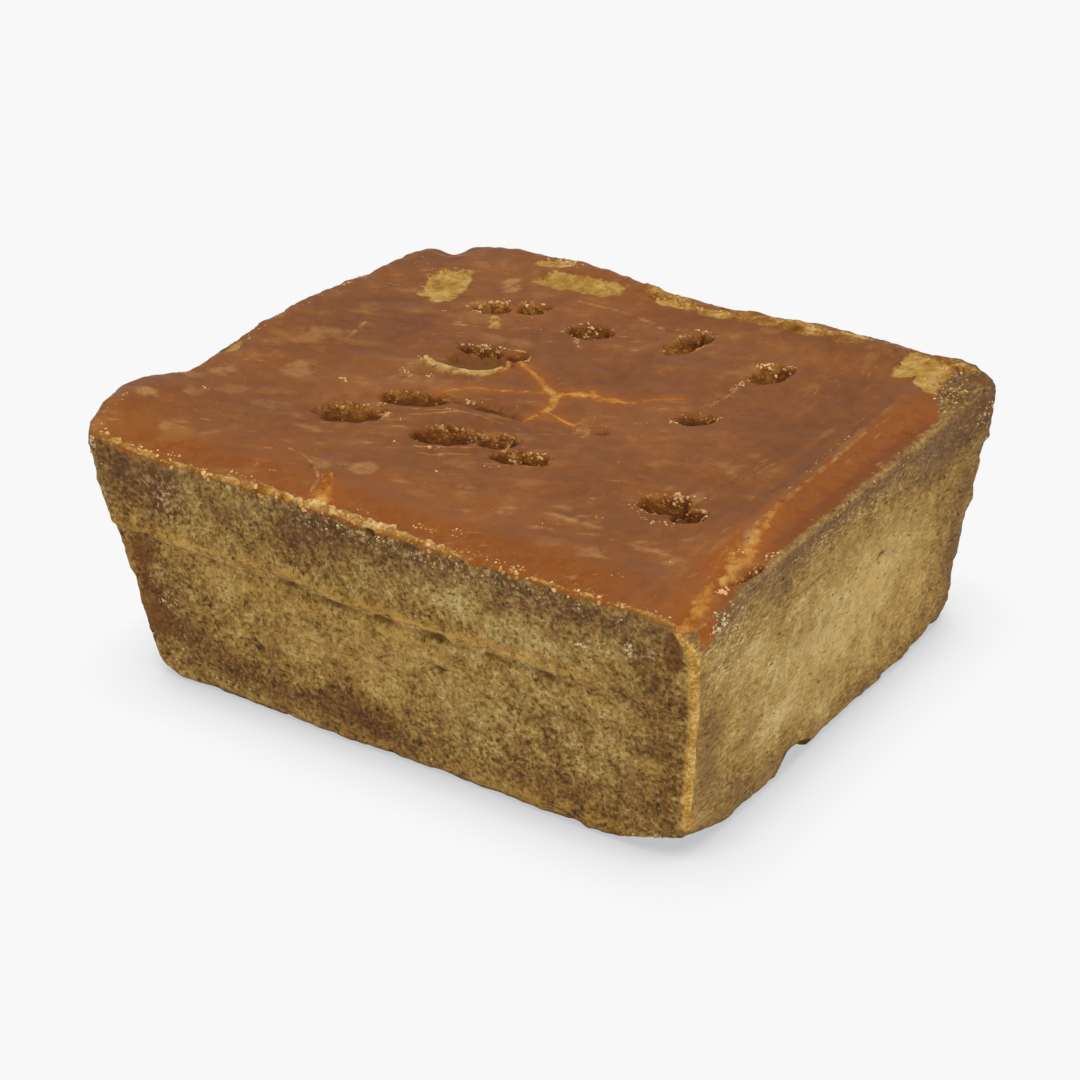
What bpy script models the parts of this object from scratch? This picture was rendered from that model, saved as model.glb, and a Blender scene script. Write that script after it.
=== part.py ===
"""Jaggery block: cane syrup poured into a tapered mould in two pours and left to set, so it is one
solid, wider at the top than at the base. The top has a worn rim and the pits of burst bubbles.
Metres, +Z up, with the origin in the middle of the base."""

import math

import bmesh
import bpy
from mathutils import Matrix, Vector, noise

MM = 0.001

# Driving dimensions
LENGTH = 136 * MM  # top, along X
WIDTH = 119 * MM  # top, along Y
HEIGHT = 52.7 * MM
CORNER_RADIUS = {"front_left": 4 * MM, "front_right": 2.5 * MM, "back_right": 6 * MM, "back_left": 12 * MM}
TOP_ROUNDING = 1.8 * MM
BASE_ROUNDING = 1.6 * MM
GRID = 5.0 * MM  # spacing of the modelled surface
EDGE_SEGMENTS = 2
CORNER_SEGMENTS = 4

# How far each side stands in from the edge of the top: pairs of height and inset, in mm
SIDE_INSETS = {
    "left": ((0, 11.4), (3, 8.8), (10, 7.2), (20, 4.9), (30, 2.5), (40, 0.5), (48, -0.2), (52.7, -0.4)),
    "right": ((0, 2.7), (3, 1.8), (20, 1.5), (40, 0.4), (52.7, 0)),
    "front": ((0, 4.0), (3, 3.2), (20, 2.4), (40, 0.8), (52.7, 0)),
    "back": ((0, 6.6), (3, 5.0), (10, 3.0), (20, 0.4), (30, -1.6), (40, -2.2), (49, -1.6), (52.7, 0)),
}

# The second pour stands a little proud of the first, above this height on each side
POUR_HEIGHT = {"left": 34 * MM, "right": 39.5 * MM, "front": 32.5 * MM, "back": 38 * MM}
POUR_STEP = 0.6 * MM
POUR_SOFTNESS = 1.5 * MM  # half the height over which the step fades in
POUR_WANDER = 1.5 * MM  # how far the line strays up and down
POUR_WANDER_SIZE = 18 * MM

# Unevenness of the sides, which fades out towards the middle of the top and of the base
WAVE_SIZE = 26 * MM
WAVE_DEPTH = 0.7 * MM
EDGE_FROM = 0.85  # share of the way from the middle to a side

# The top: its middle is lower than its rim, and it slopes down to the front and right edges
TOP_SAG = 0.9 * MM
SAG_WIDTH = 14 * MM
NEAR_SAG_SHARE = 0.6  # how much of the sag the front and right edges have
SHOULDER_WIDTH = 9 * MM
SHOULDER_DROP = 1.2 * MM
TOP_WAVE_SIZE = 30 * MM
TOP_WAVE_DEPTH = 0.5 * MM

# Swellings and nicks of the rim: x, y, radius, rise, and how far the side swells out, in mm
RIM_LUMPS = (
    (-68, -44, 14, 3.2, 2.6),
    (-70, -29, 5, -1.2, -0.6),
    (-69, 6, 27, 2.2, 1.7),
    (-32, 60, 24, 2.2, 1.4),
    (38, 60, 26, 1.8, 1.4),
    (-61, 52, 4, -1.0, -0.5),
    (68, 52, 9, 0.6, 1.3),
)
LUMPS_FROM = 0.3  # share of the height where the lumps start to swell the side out

# Pits of burst bubbles: x, y, length, width, depth in mm, and the turn of the length from X in degrees
PITS = (
    (-36, 32.5, 9, 6, 2.8, 30),
    (-28, 37, 8, 5.5, 3.0, 35),
    (-12.5, 34.5, 10, 7, 3.2, 25),
    (7.8, 41, 14, 6, 3.2, 75),
    (30, 36, 10, 6.5, 3.4, 60),
    (-26.5, 14.5, 10, 4.5, 2.6, 12),
    (-23.5, 7.5, 14, 11, 2.0, 15),
    (-24, -12.5, 14, 6, 1.6, 22),
    (-31, -24.5, 14, 8.5, 2.4, 25),
    (-9.5, -22.5, 12, 8, 2.6, 20),
    (0, -19, 8, 6, 2.4, 20),
    (8.5, -22.8, 12, 6, 3.0, 18),
    (41, -24, 9, 8, 3.4, 20),
    (47, -25.5, 5.5, 6, 3.0, 60),
    (27, 11, 9, 5, 1.3, 35),
)
PIT_LEAN = 12  # degrees that a pit leans back, away from the front
PIT_SUNK = 0.25  # how far the middle of a pit's ellipsoid is under the surface, as a share of its half height

# The front right corner of the base is broken off on a slope: its two ends on the base and its rise
BROKEN_FRONT_END = (49 * MM, -54 * MM)
BROKEN_RIGHT_END = (65 * MM, -38 * MM)
BROKEN_SLOPE = 0.5
BROKEN_SOFTNESS = 3 * MM

# The hollow under the right edge of the base: centre and radii, in mm
BASE_HOLLOW = {"centre": (66, -16.5, -0.5), "radii": (7, 8, 5.2)}

SUGAR_BROWN = (0.25, 0.095, 0.03, 1)


def clear_scene():
    for obj in list(bpy.data.objects):
        bpy.data.objects.remove(obj, do_unlink=True)


def new_collection(name):
    collection = bpy.data.collections.new(name)
    bpy.context.scene.collection.children.link(collection)
    return collection


def move_to(obj, collection):
    for old in list(obj.users_collection):
        old.objects.unlink(obj)
    collection.objects.link(obj)


def smooth_step(value, low, high):
    share = min(1.0, max(0.0, (value - low) / (high - low)))
    return share * share * (3 - 2 * share)


def bevel_upright_edges(bm):
    """Rounds the four corners of the plan, each by its own radius."""
    for name, radius in CORNER_RADIUS.items():
        x_sign = 1 if name.endswith("right") else -1
        y_sign = -1 if name.startswith("front") else 1
        edges = [
            edge
            for edge in bm.edges
            if all(v.co.x * x_sign > LENGTH / 2 - MM and v.co.y * y_sign > WIDTH / 2 - MM for v in edge.verts)
        ]
        bmesh.ops.bevel(
            bm, geom=edges, offset=radius, segments=CORNER_SEGMENTS, profile=0.5, affect="EDGES"
        )


def bevel_outline(bm, height, radius):
    """Rounds the edge all round the top or the base."""
    edges = [
        edge
        for edge in bm.edges
        if all(abs(v.co.z - height) < 0.1 * MM for v in edge.verts)
        and any(abs(face.normal.z) < 0.5 for face in edge.link_faces)
    ]
    bmesh.ops.bevel(bm, geom=edges, offset=radius, segments=EDGE_SEGMENTS, profile=0.5, affect="EDGES")


def cut_into_grid(bm):
    """Cuts the block's faces at even steps along X, Y and Z."""
    for axis, low, high in ((0, -LENGTH / 2, LENGTH / 2), (1, -WIDTH / 2, WIDTH / 2), (2, 0, HEIGHT)):
        count = round((high - low) / GRID)
        normal = Vector((axis == 0, axis == 1, axis == 2))
        for step in range(1, count):
            bmesh.ops.bisect_plane(
                bm,
                geom=bm.verts[:] + bm.edges[:] + bm.faces[:],
                dist=0.25 * MM,
                plane_co=normal * (low + (high - low) * step / count),
                plane_no=normal,
            )


def side_shares(point):
    """How far a point of the untapered block is towards each side: 0 at the middle and 1 at the side."""
    x, y = point.x / (LENGTH / 2), point.y / (WIDTH / 2)
    return {"left": max(0, -x), "right": max(0, x), "front": max(0, -y), "back": max(0, y)}


def pour_step_at(point, shares):
    """How far the second pour stands out at this point of a side."""
    side = max(shares, key=shares.get)
    wander = POUR_WANDER * noise.noise(Vector((point.x, point.y, 0)) / POUR_WANDER_SIZE)
    line = POUR_HEIGHT[side] + wander
    return POUR_STEP * smooth_step(point.z, line - POUR_SOFTNESS, line + POUR_SOFTNESS)


def side_inset(side, height):
    """How far this side stands in at a height, between the pairs of its profile."""
    pairs = SIDE_INSETS[side]
    for (low, low_inset), (high, high_inset) in zip(pairs, pairs[1:]):
        if height <= high * MM:
            share = (height / MM - low) / (high - low)
            return (low_inset + share * (high_inset - low_inset)) * MM
    return pairs[-1][1] * MM


def rim_lump_at(x, y, column):
    """The sum of one measure of the rim's lumps at a place."""
    total = 0.0
    for lump in RIM_LUMPS:
        distance = math.hypot(x / MM - lump[0], y / MM - lump[1])
        total += lump[column] * MM * math.exp(-((distance / lump[2]) ** 2))
    return total


def top_height(x, y):
    """Height of the top: it sags in the middle, slopes off at the front and right, and has lumps on its rim."""
    from_left, from_right = x + LENGTH / 2, LENGTH / 2 - x
    from_front, from_back = y + WIDTH / 2, WIDTH / 2 - y
    height = HEIGHT - TOP_SAG * smooth_step(min(from_left, from_back), 0, SAG_WIDTH)
    height += TOP_WAVE_DEPTH * noise.noise(Vector((x, y, 0)) / TOP_WAVE_SIZE)
    for distance in (from_front, from_right):
        past_shoulder = smooth_step(distance - SHOULDER_WIDTH, 0, SHOULDER_WIDTH)
        height += TOP_SAG * NEAR_SAG_SHARE * (1 - past_shoulder)
        height -= SHOULDER_DROP * (1 - smooth_step(distance, 0, SHOULDER_WIDTH))
    return height + rim_lump_at(x, y, 3)


def base_height(x, y):
    """Height of the base: flat, but for the broken corner at the front right."""
    (x1, y1), (x2, y2) = BROKEN_FRONT_END, BROKEN_RIGHT_END
    length = math.hypot(x2 - x1, y2 - y1)
    beyond = ((x - x1) * (y2 - y1) - (y - y1) * (x2 - x1)) / length
    if beyond <= 0:
        return 0.0
    return BROKEN_SLOPE * beyond * beyond / (beyond + BROKEN_SOFTNESS)


def shape_block(bm):
    """Tapers the block, and gives its sides, top and base their unevenness."""
    for vert in bm.verts:
        point = vert.co.copy()
        shares = side_shares(point)
        insets = {side: side_inset(side, point.z) * share for side, share in shares.items()}
        x = point.x + insets["left"] - insets["right"]
        y = point.y + insets["front"] - insets["back"]

        edge_share = max(shares.values())
        outward = Vector((point.x / LENGTH, point.y / WIDTH, 0)).normalized()
        swell = pour_step_at(point, shares) + WAVE_DEPTH * noise.noise(point / WAVE_SIZE)
        swell += rim_lump_at(point.x, point.y, 4) * smooth_step(point.z, LUMPS_FROM * HEIGHT, HEIGHT)
        swell *= smooth_step(edge_share, EDGE_FROM, 1)

        low, high = base_height(x, y), top_height(x, y)
        z = low + point.z / HEIGHT * (high - low)
        vert.co = Vector((x, y, z)) + outward * swell


def centre_on_origin(block, cutters):
    """Moves the block, with its cutters, until the middle of its box is over the origin."""
    xs = [vert.co.x for vert in block.data.vertices]
    ys = [vert.co.y for vert in block.data.vertices]
    offset = Vector((-(min(xs) + max(xs)) / 2, -(min(ys) + max(ys)) / 2, 0))
    block.data.transform(Matrix.Translation(offset))
    for cutter in cutters.objects:
        cutter.location += offset


def sugar_material():
    material = bpy.data.materials.new("set_jaggery")
    material.use_nodes = True
    shader = material.node_tree.nodes["Principled BSDF"]
    shader.inputs["Base Color"].default_value = SUGAR_BROWN
    shader.inputs["Roughness"].default_value = 0.45
    shader.inputs["Metallic"].default_value = 0.0
    return material


def add_block(collection):
    bpy.ops.mesh.primitive_cube_add(size=1, location=(0, 0, 0))
    block = bpy.context.object
    block.name = block.data.name = "jaggery_block"
    bm = bmesh.new()
    bm.from_mesh(block.data)
    bmesh.ops.transform(
        bm,
        matrix=Matrix.Translation((0, 0, HEIGHT / 2)) @ Matrix.Diagonal((LENGTH, WIDTH, HEIGHT, 1)),
        verts=bm.verts,
    )
    bevel_upright_edges(bm)
    bevel_outline(bm, HEIGHT, TOP_ROUNDING)
    bevel_outline(bm, 0, BASE_ROUNDING)
    cut_into_grid(bm)
    shape_block(bm)
    bmesh.ops.triangulate(bm, faces=bm.faces)
    bm.to_mesh(block.data)
    bm.free()
    block.data.shade_smooth()
    block.data.materials.append(sugar_material())
    move_to(block, collection)
    return block


def add_cutter(name, location, radii, turn, lean, collection):
    """An ellipsoid that cuts a hollow: it leans about its own length, and is then turned about Z."""
    bpy.ops.mesh.primitive_uv_sphere_add(segments=18, ring_count=10, radius=1, location=location)
    cutter = bpy.context.object
    cutter.name = name
    cutter.data.transform(
        Matrix.Rotation(turn, 4, "Z") @ Matrix.Rotation(lean, 4, "X") @ Matrix.Diagonal((*radii, 1))
    )
    cutter.hide_render = True
    cutter.display_type = "WIRE"
    move_to(cutter, collection)
    return cutter


def add_pits(collection):
    """Each pit is cut by an ellipsoid whose middle is a little under the surface, so that its lip is steep."""
    for number, (x, y, length, width, depth, turn) in enumerate(PITS):
        x, y, depth = x * MM, y * MM, depth * MM
        half_height = depth / (1 + PIT_SUNK)
        surface = top_height(x, y)
        add_cutter(
            f"pit_cutter_{number}",
            (x, y, surface - PIT_SUNK * half_height),
            (length / 2 * MM, width / 2 * MM, half_height),
            math.radians(turn),
            math.radians(-PIT_LEAN),
            collection,
        )


def add_base_hollow(collection):
    centre = Vector(BASE_HOLLOW["centre"]) * MM
    radii = Vector(BASE_HOLLOW["radii"]) * MM
    add_cutter("base_hollow_cutter", centre, radii, 0, 0, collection)


def cut_hollows(block, cutters):
    cut = block.modifiers.new("hollows", "BOOLEAN")
    cut.operation = "DIFFERENCE"
    cut.solver = "EXACT"
    cut.operand_type = "COLLECTION"
    cut.collection = cutters


def main():
    clear_scene()
    parts = new_collection("jaggery_block_parts")
    cutters = new_collection("cutters")
    block = add_block(parts)
    add_pits(cutters)
    add_base_hollow(cutters)
    centre_on_origin(block, cutters)
    cut_hollows(block, cutters)


main()
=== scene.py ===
import math
import random

import bpy
import numpy as np
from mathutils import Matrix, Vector, noise
from mathutils.bvhtree import BVHTree


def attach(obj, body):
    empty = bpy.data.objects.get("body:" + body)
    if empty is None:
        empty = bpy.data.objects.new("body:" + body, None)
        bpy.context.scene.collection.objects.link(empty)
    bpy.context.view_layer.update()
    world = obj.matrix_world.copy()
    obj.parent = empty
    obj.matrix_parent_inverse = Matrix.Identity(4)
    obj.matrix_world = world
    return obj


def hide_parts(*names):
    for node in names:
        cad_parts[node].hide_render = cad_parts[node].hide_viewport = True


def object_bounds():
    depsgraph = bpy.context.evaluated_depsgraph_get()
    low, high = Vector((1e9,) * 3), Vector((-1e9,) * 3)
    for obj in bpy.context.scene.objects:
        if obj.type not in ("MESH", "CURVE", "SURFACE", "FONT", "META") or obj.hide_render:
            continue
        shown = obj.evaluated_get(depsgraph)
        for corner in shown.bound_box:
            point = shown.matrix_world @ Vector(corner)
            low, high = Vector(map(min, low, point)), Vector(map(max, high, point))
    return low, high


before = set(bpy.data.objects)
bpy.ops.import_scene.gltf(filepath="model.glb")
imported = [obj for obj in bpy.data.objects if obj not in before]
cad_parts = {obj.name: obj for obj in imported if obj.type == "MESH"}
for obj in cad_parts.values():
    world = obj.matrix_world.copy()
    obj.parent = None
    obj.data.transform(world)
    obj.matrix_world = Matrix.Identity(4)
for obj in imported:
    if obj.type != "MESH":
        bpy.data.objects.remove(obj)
cadLow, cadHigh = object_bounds()
print("frame loaded")

# the block's drawing: millimetres, zero in the middle of the top's outline, on the ground

block = {
    "boxLength": 140.8,  # the finished box along X, which ties the drawing to the frame
    "length": 136.0,
    "width": 119.1,
    "height": 52.7,
    "cell": 0.74,  # spacing of the surface's points
    "row": 0.92,
    "cornerRadii": {"frontLeft": 4.0, "frontRight": 2.2, "backRight": 6.0, "backLeft": 12.0},
    "rimRounding": 1.2,
    "baseRounding": 1.1,
    "baseBorder": 3.2,  # how much of the base's edge keeps its cells
    "insets": {  # pairs of height and how far the side stands in
        "left": (
            (0, 12.6), (3, 9.8), (7, 8.4), (9, 7.2), (20, 4.9), (30, 2.5), (40, 0.5),
            (48, -0.2), (52.7, -0.4),
        ),
        "right": ((0, 2.7), (3, 1.8), (20, 1.5), (40, 0.4), (52.7, 0)),
        "front": ((0, 4.0), (3, 3.2), (20, 2.4), (40, 0.8), (52.7, 0)),
        "back": ((0, 6.6), (3, 5.0), (10, 3.0), (20, 0.4), (30, -1.6), (40, -2.2), (49, -1.6), (52.7, 0)),
    },
    "pourHeight": {"left": 34.0, "right": 40.5, "front": 33.0, "back": 38.0},
    "pourStep": 0.6,
    "topSag": 0.9,
    "shoulderWidth": 9.0,
    "shoulderDrop": 1.2,
    # swellings of the rim: x, y, radius, rise, and how far the side swells out
    "rimLumps": (
        (-68, -44, 14, 3.2, 2.6), (-70, -29, 5, -1.2, -0.6), (-69, 6, 27, 2.2, 1.7),
        (-32, 60, 24, 2.2, 1.4), (38, 60, 26, 1.8, 1.4), (-62.3, 56.2, 3.4, -2.4, -1.9),
        (68, 52, 9, 0.6, 1.3),
    ),
    "brokenCorner": {"frontEnd": (49, -54), "rightEnd": (65, -38), "slope": 0.5, "softness": 3.0},
    "baseHollow": {"at": (66, -16.5, -0.5), "radii": (7, 8, 5.2)},
    "acrossTurn": 33.5,  # the near corner's ridge is drawn on a line turned this much from X
    "ridgeHollow": (21.2, 45.2, 1.5, 4.2),  # on the same line: across, height, half width, half height
    "cornerAmber": (26.2, 50, 1.9, 5.5),
    "paddleTurn": 27,  # the slant of the paddle's strokes
    "crestInset": 10.3,  # how far in from the right edge the low crest runs
    # relief of the grain: name, group of points, size, depth
    "grain": (("sideGrain", "sides", 0.9, 0.4), ("pitGrain", "hollows", 1.1, 0.36)),
}

# burst bubbles in the top: x, y, length, width, depth, turn of the length, how gently the far wall slopes
pits = (
    (-36, 32.3, 8.6, 5, 2.4, 30, 0.7), (-28.6, 36.4, 7, 4.2, 2.3, 32, 0.7),
    (-12.5, 34.5, 10, 7, 3, 25, 0.6), (7.8, 41, 14, 6, 3, 75, 0.4), (30, 36, 10, 6.5, 3.4, 60, 0.6),
    (-26.5, 14.6, 10, 4.5, 2.4, 12, 0.6), (-23.5, 8.6, 14, 10, 1.5, 15, 0.2),
    (-24, -12.5, 14, 6.5, 1.5, 22, 0.8), (-31, -24.5, 14.5, 8.5, 2.3, 25, 0.9),
    (-9.5, -22.5, 13, 8, 2.5, 20, 0.8), (0.5, -19, 9, 6, 2.2, 20, 0.9), (8.5, -22.8, 12, 6, 3, 18, 0.7),
    (41, -23.6, 10.5, 8, 2.8, 20, 0.8), (46.8, -25.2, 7, 6, 2.6, 40, 0.6), (27.2, 11, 9, 5, 1.2, 35, 0.9),
    (-9, -8, 21, 4.2, 0.6, 2, 0.6), (14.5, -4.6, 4.5, 2, 0.9, 20, 0.5), (66.3, -37, 12, 2, 1.1, 82, 0.3),
    (-18.5, 15.6, 5.4, 5.4, 1, 0, 0.5),
)
brightPit = 6  # the one wide smooth dent, which is grey where the others are amber

# veins of golden sugar: paleness, rise, then points of x, y and width
veins = (
    (0.32, -0.12, ((-16, 13.5, 1.7), (-12, 11.5, 1.3), (-8, 9, 1.4), (-5, 7, 1.6), (-2, 4.9, 2),
        (0, 2, 1.9), (0.3, -1, 1.7), (0.5, -5, 1.4), (-0.5, -8, 0.8))),
    (0.4, -0.12, ((-1.2, 5.4, 1.9), (2, 8, 2), (4, 9.3, 2.2), (6, 8.8, 1.8), (9, 9.6, 1.7),
        (12.8, 11.2, 0.9))),
    (0.3, 0.1, ((3.6, 9, 1.5), (3.2, 10.9, 0.9))),
    (0.05, -0.05, ((-4, 5, 0.9), (-8, 3, 1.1), (-12, 0.2, 1.2), (-17, -2.2, 1.1), (-20, -5, 1.1),
        (-21, -8, 0.5))),
    (0.1, -0.05, ((13, 11.4, 0.3), (16, 14.6, 0.7), (20.5, 17.8, 0.5))),
    (0.4, -0.05, ((0.8, -2, 0.7), (5, -3.6, 0.7), (9, -4.4, 1.1))),
    (0.6, 0.25, ((9.6, -3.8, 2.4), (11.3, -5.8, 3.2), (13.4, -7.8, 1.5))),
    (0.5, 0.1, ((-18, 12.4, 1.2), (-16.9, 9.8, 1.3), (-17.1, 7.6, 0.9))),
    (0.62, -0.1, ((-22, 45.2, 0.8), (-19, 45.7, 1), (-15, 46, 1.1), (-10, 46.6, 1.1), (-5, 46, 1.2),
        (0, 44.6, 1.4), (3, 46.6, 1.1), (5.5, 48.5, 0.5))),
    (1, 0.7, ((-33, 4.2, 1.2), (-28, 2.1, 3.2), (-23, 2.5, 3.3), (-19.4, 4.9, 2.8), (-17.6, 8.6, 1.5))),
    (0.92, 0.3, ((-20.6, 18, 0.4), (-18.4, 18.7, 0.6), (-16, 17.6, 0.7), (-15.2, 15.2, 0.6),
        (-16.4, 13.2, 0.6))),
    (0.78, 0.25, ((58.8, 22, 0.5), (59.2, 4, 0.9), (59, -12, 1.2), (59.8, -20, 2), (60.8, -27, 3),
        (61.8, -31, 2.2))),
    (0.6, 0.06, ((-26, -21.6, 0.5), (-22, -19.6, 0.7), (-18, -17, 0.6), (-14.5, -14, 0.7),
        (-12.5, -12.6, 0.4))),
    (0.6, 0.06, ((-10, -31.2, 0.5), (-6, -29.6, 0.7), (-2, -26.8, 0.6), (1, -24.2, 0.4))),
    (0.45, 0.55, ((59.4, -14, 0.8), (60.4, -21, 1.8), (61.6, -28, 3.2), (62.8, -33, 4.4), (63.9, -39, 4.2),
        (64.6, -43, 1.8))),
    (0.3, 0.5, ((63.6, -45.5, 1), (64.6, -50, 2.6), (66, -55, 2.8), (66.8, -59, 2.6))),
    (0.7, 0.1, ((26.8, 27, 1.4), (27.4, 23.5, 0.7), (26.5, 19, 0.5), (25.2, 15.5, 0.4))),
    (0.75, 0.15, ((-53, 10.5, 0.7), (-52.2, 5.5, 1.2), (-51, 0.5, 0.6))),
    (0.9, 0.55, ((-32.6, 28.4, 2.2), (-31, 26.2, 2.8))),
    (0.8, 0.15, ((-39, 24.5, 0.9), (-38.6, 22, 1.3), (-36, 22.8, 1), (-34, 23.6, 0.6))),
    (0.42, 0.7, ((-16.6, -49, 0.7), (-15, -53, 2.4), (-13.4, -57, 4.2))),
    (0.75, 0.25, ((-31, -43.8, 0.5), (-28, -44.2, 0.8), (-25, -45.6, 0.9), (-22.4, -47.6, 1.1),
        (-19.5, -49.6, 0.9), (-17.5, -52, 0.8), (-16.4, -55.5, 1.1))),
    (0.7, 0.12, ((-33.5, -31, 0.4), (-30, -29.2, 0.4), (-26, -26.2, 0.6), (-24, -22, 1.1))),
    (0.7, 0.12, ((-12, -29, 0.7), (-9, -28, 0.8), (-5, -25.6, 0.5), (0, -23, 0.3))),
    (0.7, 0.12, ((4, -28.4, 0.5), (8, -26.8, 0.4), (12.5, -24.6, 0.7), (13.8, -20.5, 0.8))),
    (0.55, 0.12, ((-25, -18, 0.3), (-19, -15.2, 0.5), (-14, -12.6, 0.4), (-5, -12.2, 0.4),
        (6, -12.6, 0.2))),
    (0.7, 0.12, ((10.6, 34, 0.5), (10.9, 40, 0.8), (11.3, 47, 0.6), (7, 47.6, 1.2))),
)

# flakes broken off the skin, which show pale sugar: x, y, length, width, turn
flakes = (
    (-51.3, 37.3, 17, 9.6, 108), (-26, 51.8, 21, 6.6, 13), (-8, 57.6, 7, 3, -10), (3.5, 56.6, 9, 1.8, 10),
    (26.5, 59.6, 7, 2.6, 10), (38, 59.4, 10, 2, 4), (-36, 56.8, 9, 3.6, 20), (-7, 59.3, 5, 3, 0),
    (-4.5, 55, 9, 2.4, 5), (6, 55.3, 10, 2.8, 5), (23.5, 60, 6, 3.6, 0), (33, 60.8, 7, 2, 0),
    (52.6, 55.5, 13, 5, 95), (58.6, 51.6, 14, 7.5, 120), (-69.2, -14.5, 11, 3.8, 85),
)

# soft pale smears: x, y, length, width, turn, strength
smears = (
    (-57.5, 0, 9, 7, 60, 0.5), (-51, -14, 8, 6.5, 80, 0.65), (-63, -24.5, 6.5, 4.5, 90, 0.7),
    (-65, -45.5, 4.6, 4, 0, 1), (-54.5, -50, 5.5, 2.8, 70, 0.7), (-38.8, 44.5, 7.5, 4.4, 100, 1),
    (18, -41, 4, 1.5, 20, 0.8), (27, -44, 5, 1.3, 15, 0.8), (36, -41, 4, 1.2, 25, 0.8),
    (12, -46, 3, 1.2, 10, 0.7), (-5, -43, 4, 1.4, 15, 0.6), (46, -38, 5, 1.3, 30, 0.8),
    (42, -48, 4, 1.2, 15, 0.7), (6, -38, 3.5, 1.2, 20, 0.7), (-14, -42, 3.5, 1.1, 10, 0.6),
    (31, -36, 3, 1.1, 25, 0.7), (52, -33, 3, 1, 35, 0.6), (-24, -45, 4, 1.2, 5, 0.5),
    (18.3, -42.6, 3, 2.8, 0, 0.7), (30, -38.5, 12, 1.8, 0, 0.9), (26.5, -35, 4, 1.6, 0, 0.6),
    (48, -40.3, 11, 1.5, 0, 0.8), (-14.5, -42.5, 5.5, 5, 0, 0.95), (-20, -45.4, 7, 4.5, 30, 0.6),
    (-60, -37, 6, 4, 80, 0.4), (-46, -30, 9, 4, 20, 0.3), (40, -47.5, 6, 3, 60, 0.4),
    (44.5, -18.5, 6, 3, 80, 0.5), (53.5, -42, 4, 2, 70, 0.6), (-33, -34, 9, 1.4, 5, 0.5),
    (1, -44, 7, 4, 60, 0.25), (-30, -5, 9, 5, 20, 0.35), (-47, -48, 5, 2, 60, 0.4),
    (-56, -30, 7, 4, 60, 0.35),
)


def smooth(value, low, high):
    share = np.clip((value - low) / (high - low), 0, 1)
    return share * share * (3 - 2 * share)


def hill(away, width, up=0, height=1):
    # 1 in the middle, falling off over the width and the height
    return np.exp(-((away / width) ** 2) - (up / height) ** 2)


def noiseAt(points, size, seed=0):
    away = Vector((seed * 17.3, seed * 31.7, seed * 7.9))
    return np.array([noise.noise(Vector(point) / size + away) for point in points])


def turned(x, y, cx, cy, degrees):
    c, s = math.cos(math.radians(degrees)), math.sin(math.radians(degrees))
    return (x - cx) * c + (y - cy) * s, (y - cy) * c - (x - cx) * s


def oval(x, y, cx, cy, length, width, degrees):
    # 0 in the middle of a turned oval and 1 on its outline
    u, v = turned(x, y, cx, cy, degrees)
    return np.hypot(u / (length / 2), v / (width / 2))


def alongLine(x, y, points):
    # distance to a line through the points, and the line's width at the nearest place
    best, width = np.full(len(x), 1e3), np.zeros(len(x))
    for (x1, y1, w1), (x2, y2, w2) in zip(points, points[1:]):
        share = ((x - x1) * (x2 - x1) + (y - y1) * (y2 - y1)) / ((x2 - x1) ** 2 + (y2 - y1) ** 2)
        share = np.clip(share, 0, 1)
        distance = np.hypot(x - x1 - share * (x2 - x1), y - y1 - share * (y2 - y1))
        closer = distance < best
        best[closer] = distance[closer]
        width[closer] = (w1 + share * (w2 - w1))[closer]
    return best, width


# the blank: a fine box with its sides cut into rows, and one flat face in the middle of its base

def editAll(kind="FACE"):
    bpy.ops.object.mode_set(mode="EDIT")
    bpy.ops.mesh.select_mode(type=kind)
    bpy.ops.mesh.select_all(action="SELECT")


def selectPart(piece, kind, chosen):
    # selects faces or edges in edit mode
    mesh = piece.data
    for store in (mesh.vertices, mesh.edges, mesh.polygons):
        store.foreach_set("select", np.zeros(len(store), dtype=bool))
    (mesh.polygons if kind == "FACE" else mesh.edges).foreach_set("select", chosen)
    bpy.ops.object.mode_set(mode="EDIT")
    bpy.ops.mesh.select_mode(type=kind)


def readVectors(store, name, count=3):
    values = np.empty(len(store) * count)
    store.foreach_get(name, values)
    return values.reshape(-1, count)


def coordinates(piece):
    return readVectors(piece.data.vertices, "co")


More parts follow.
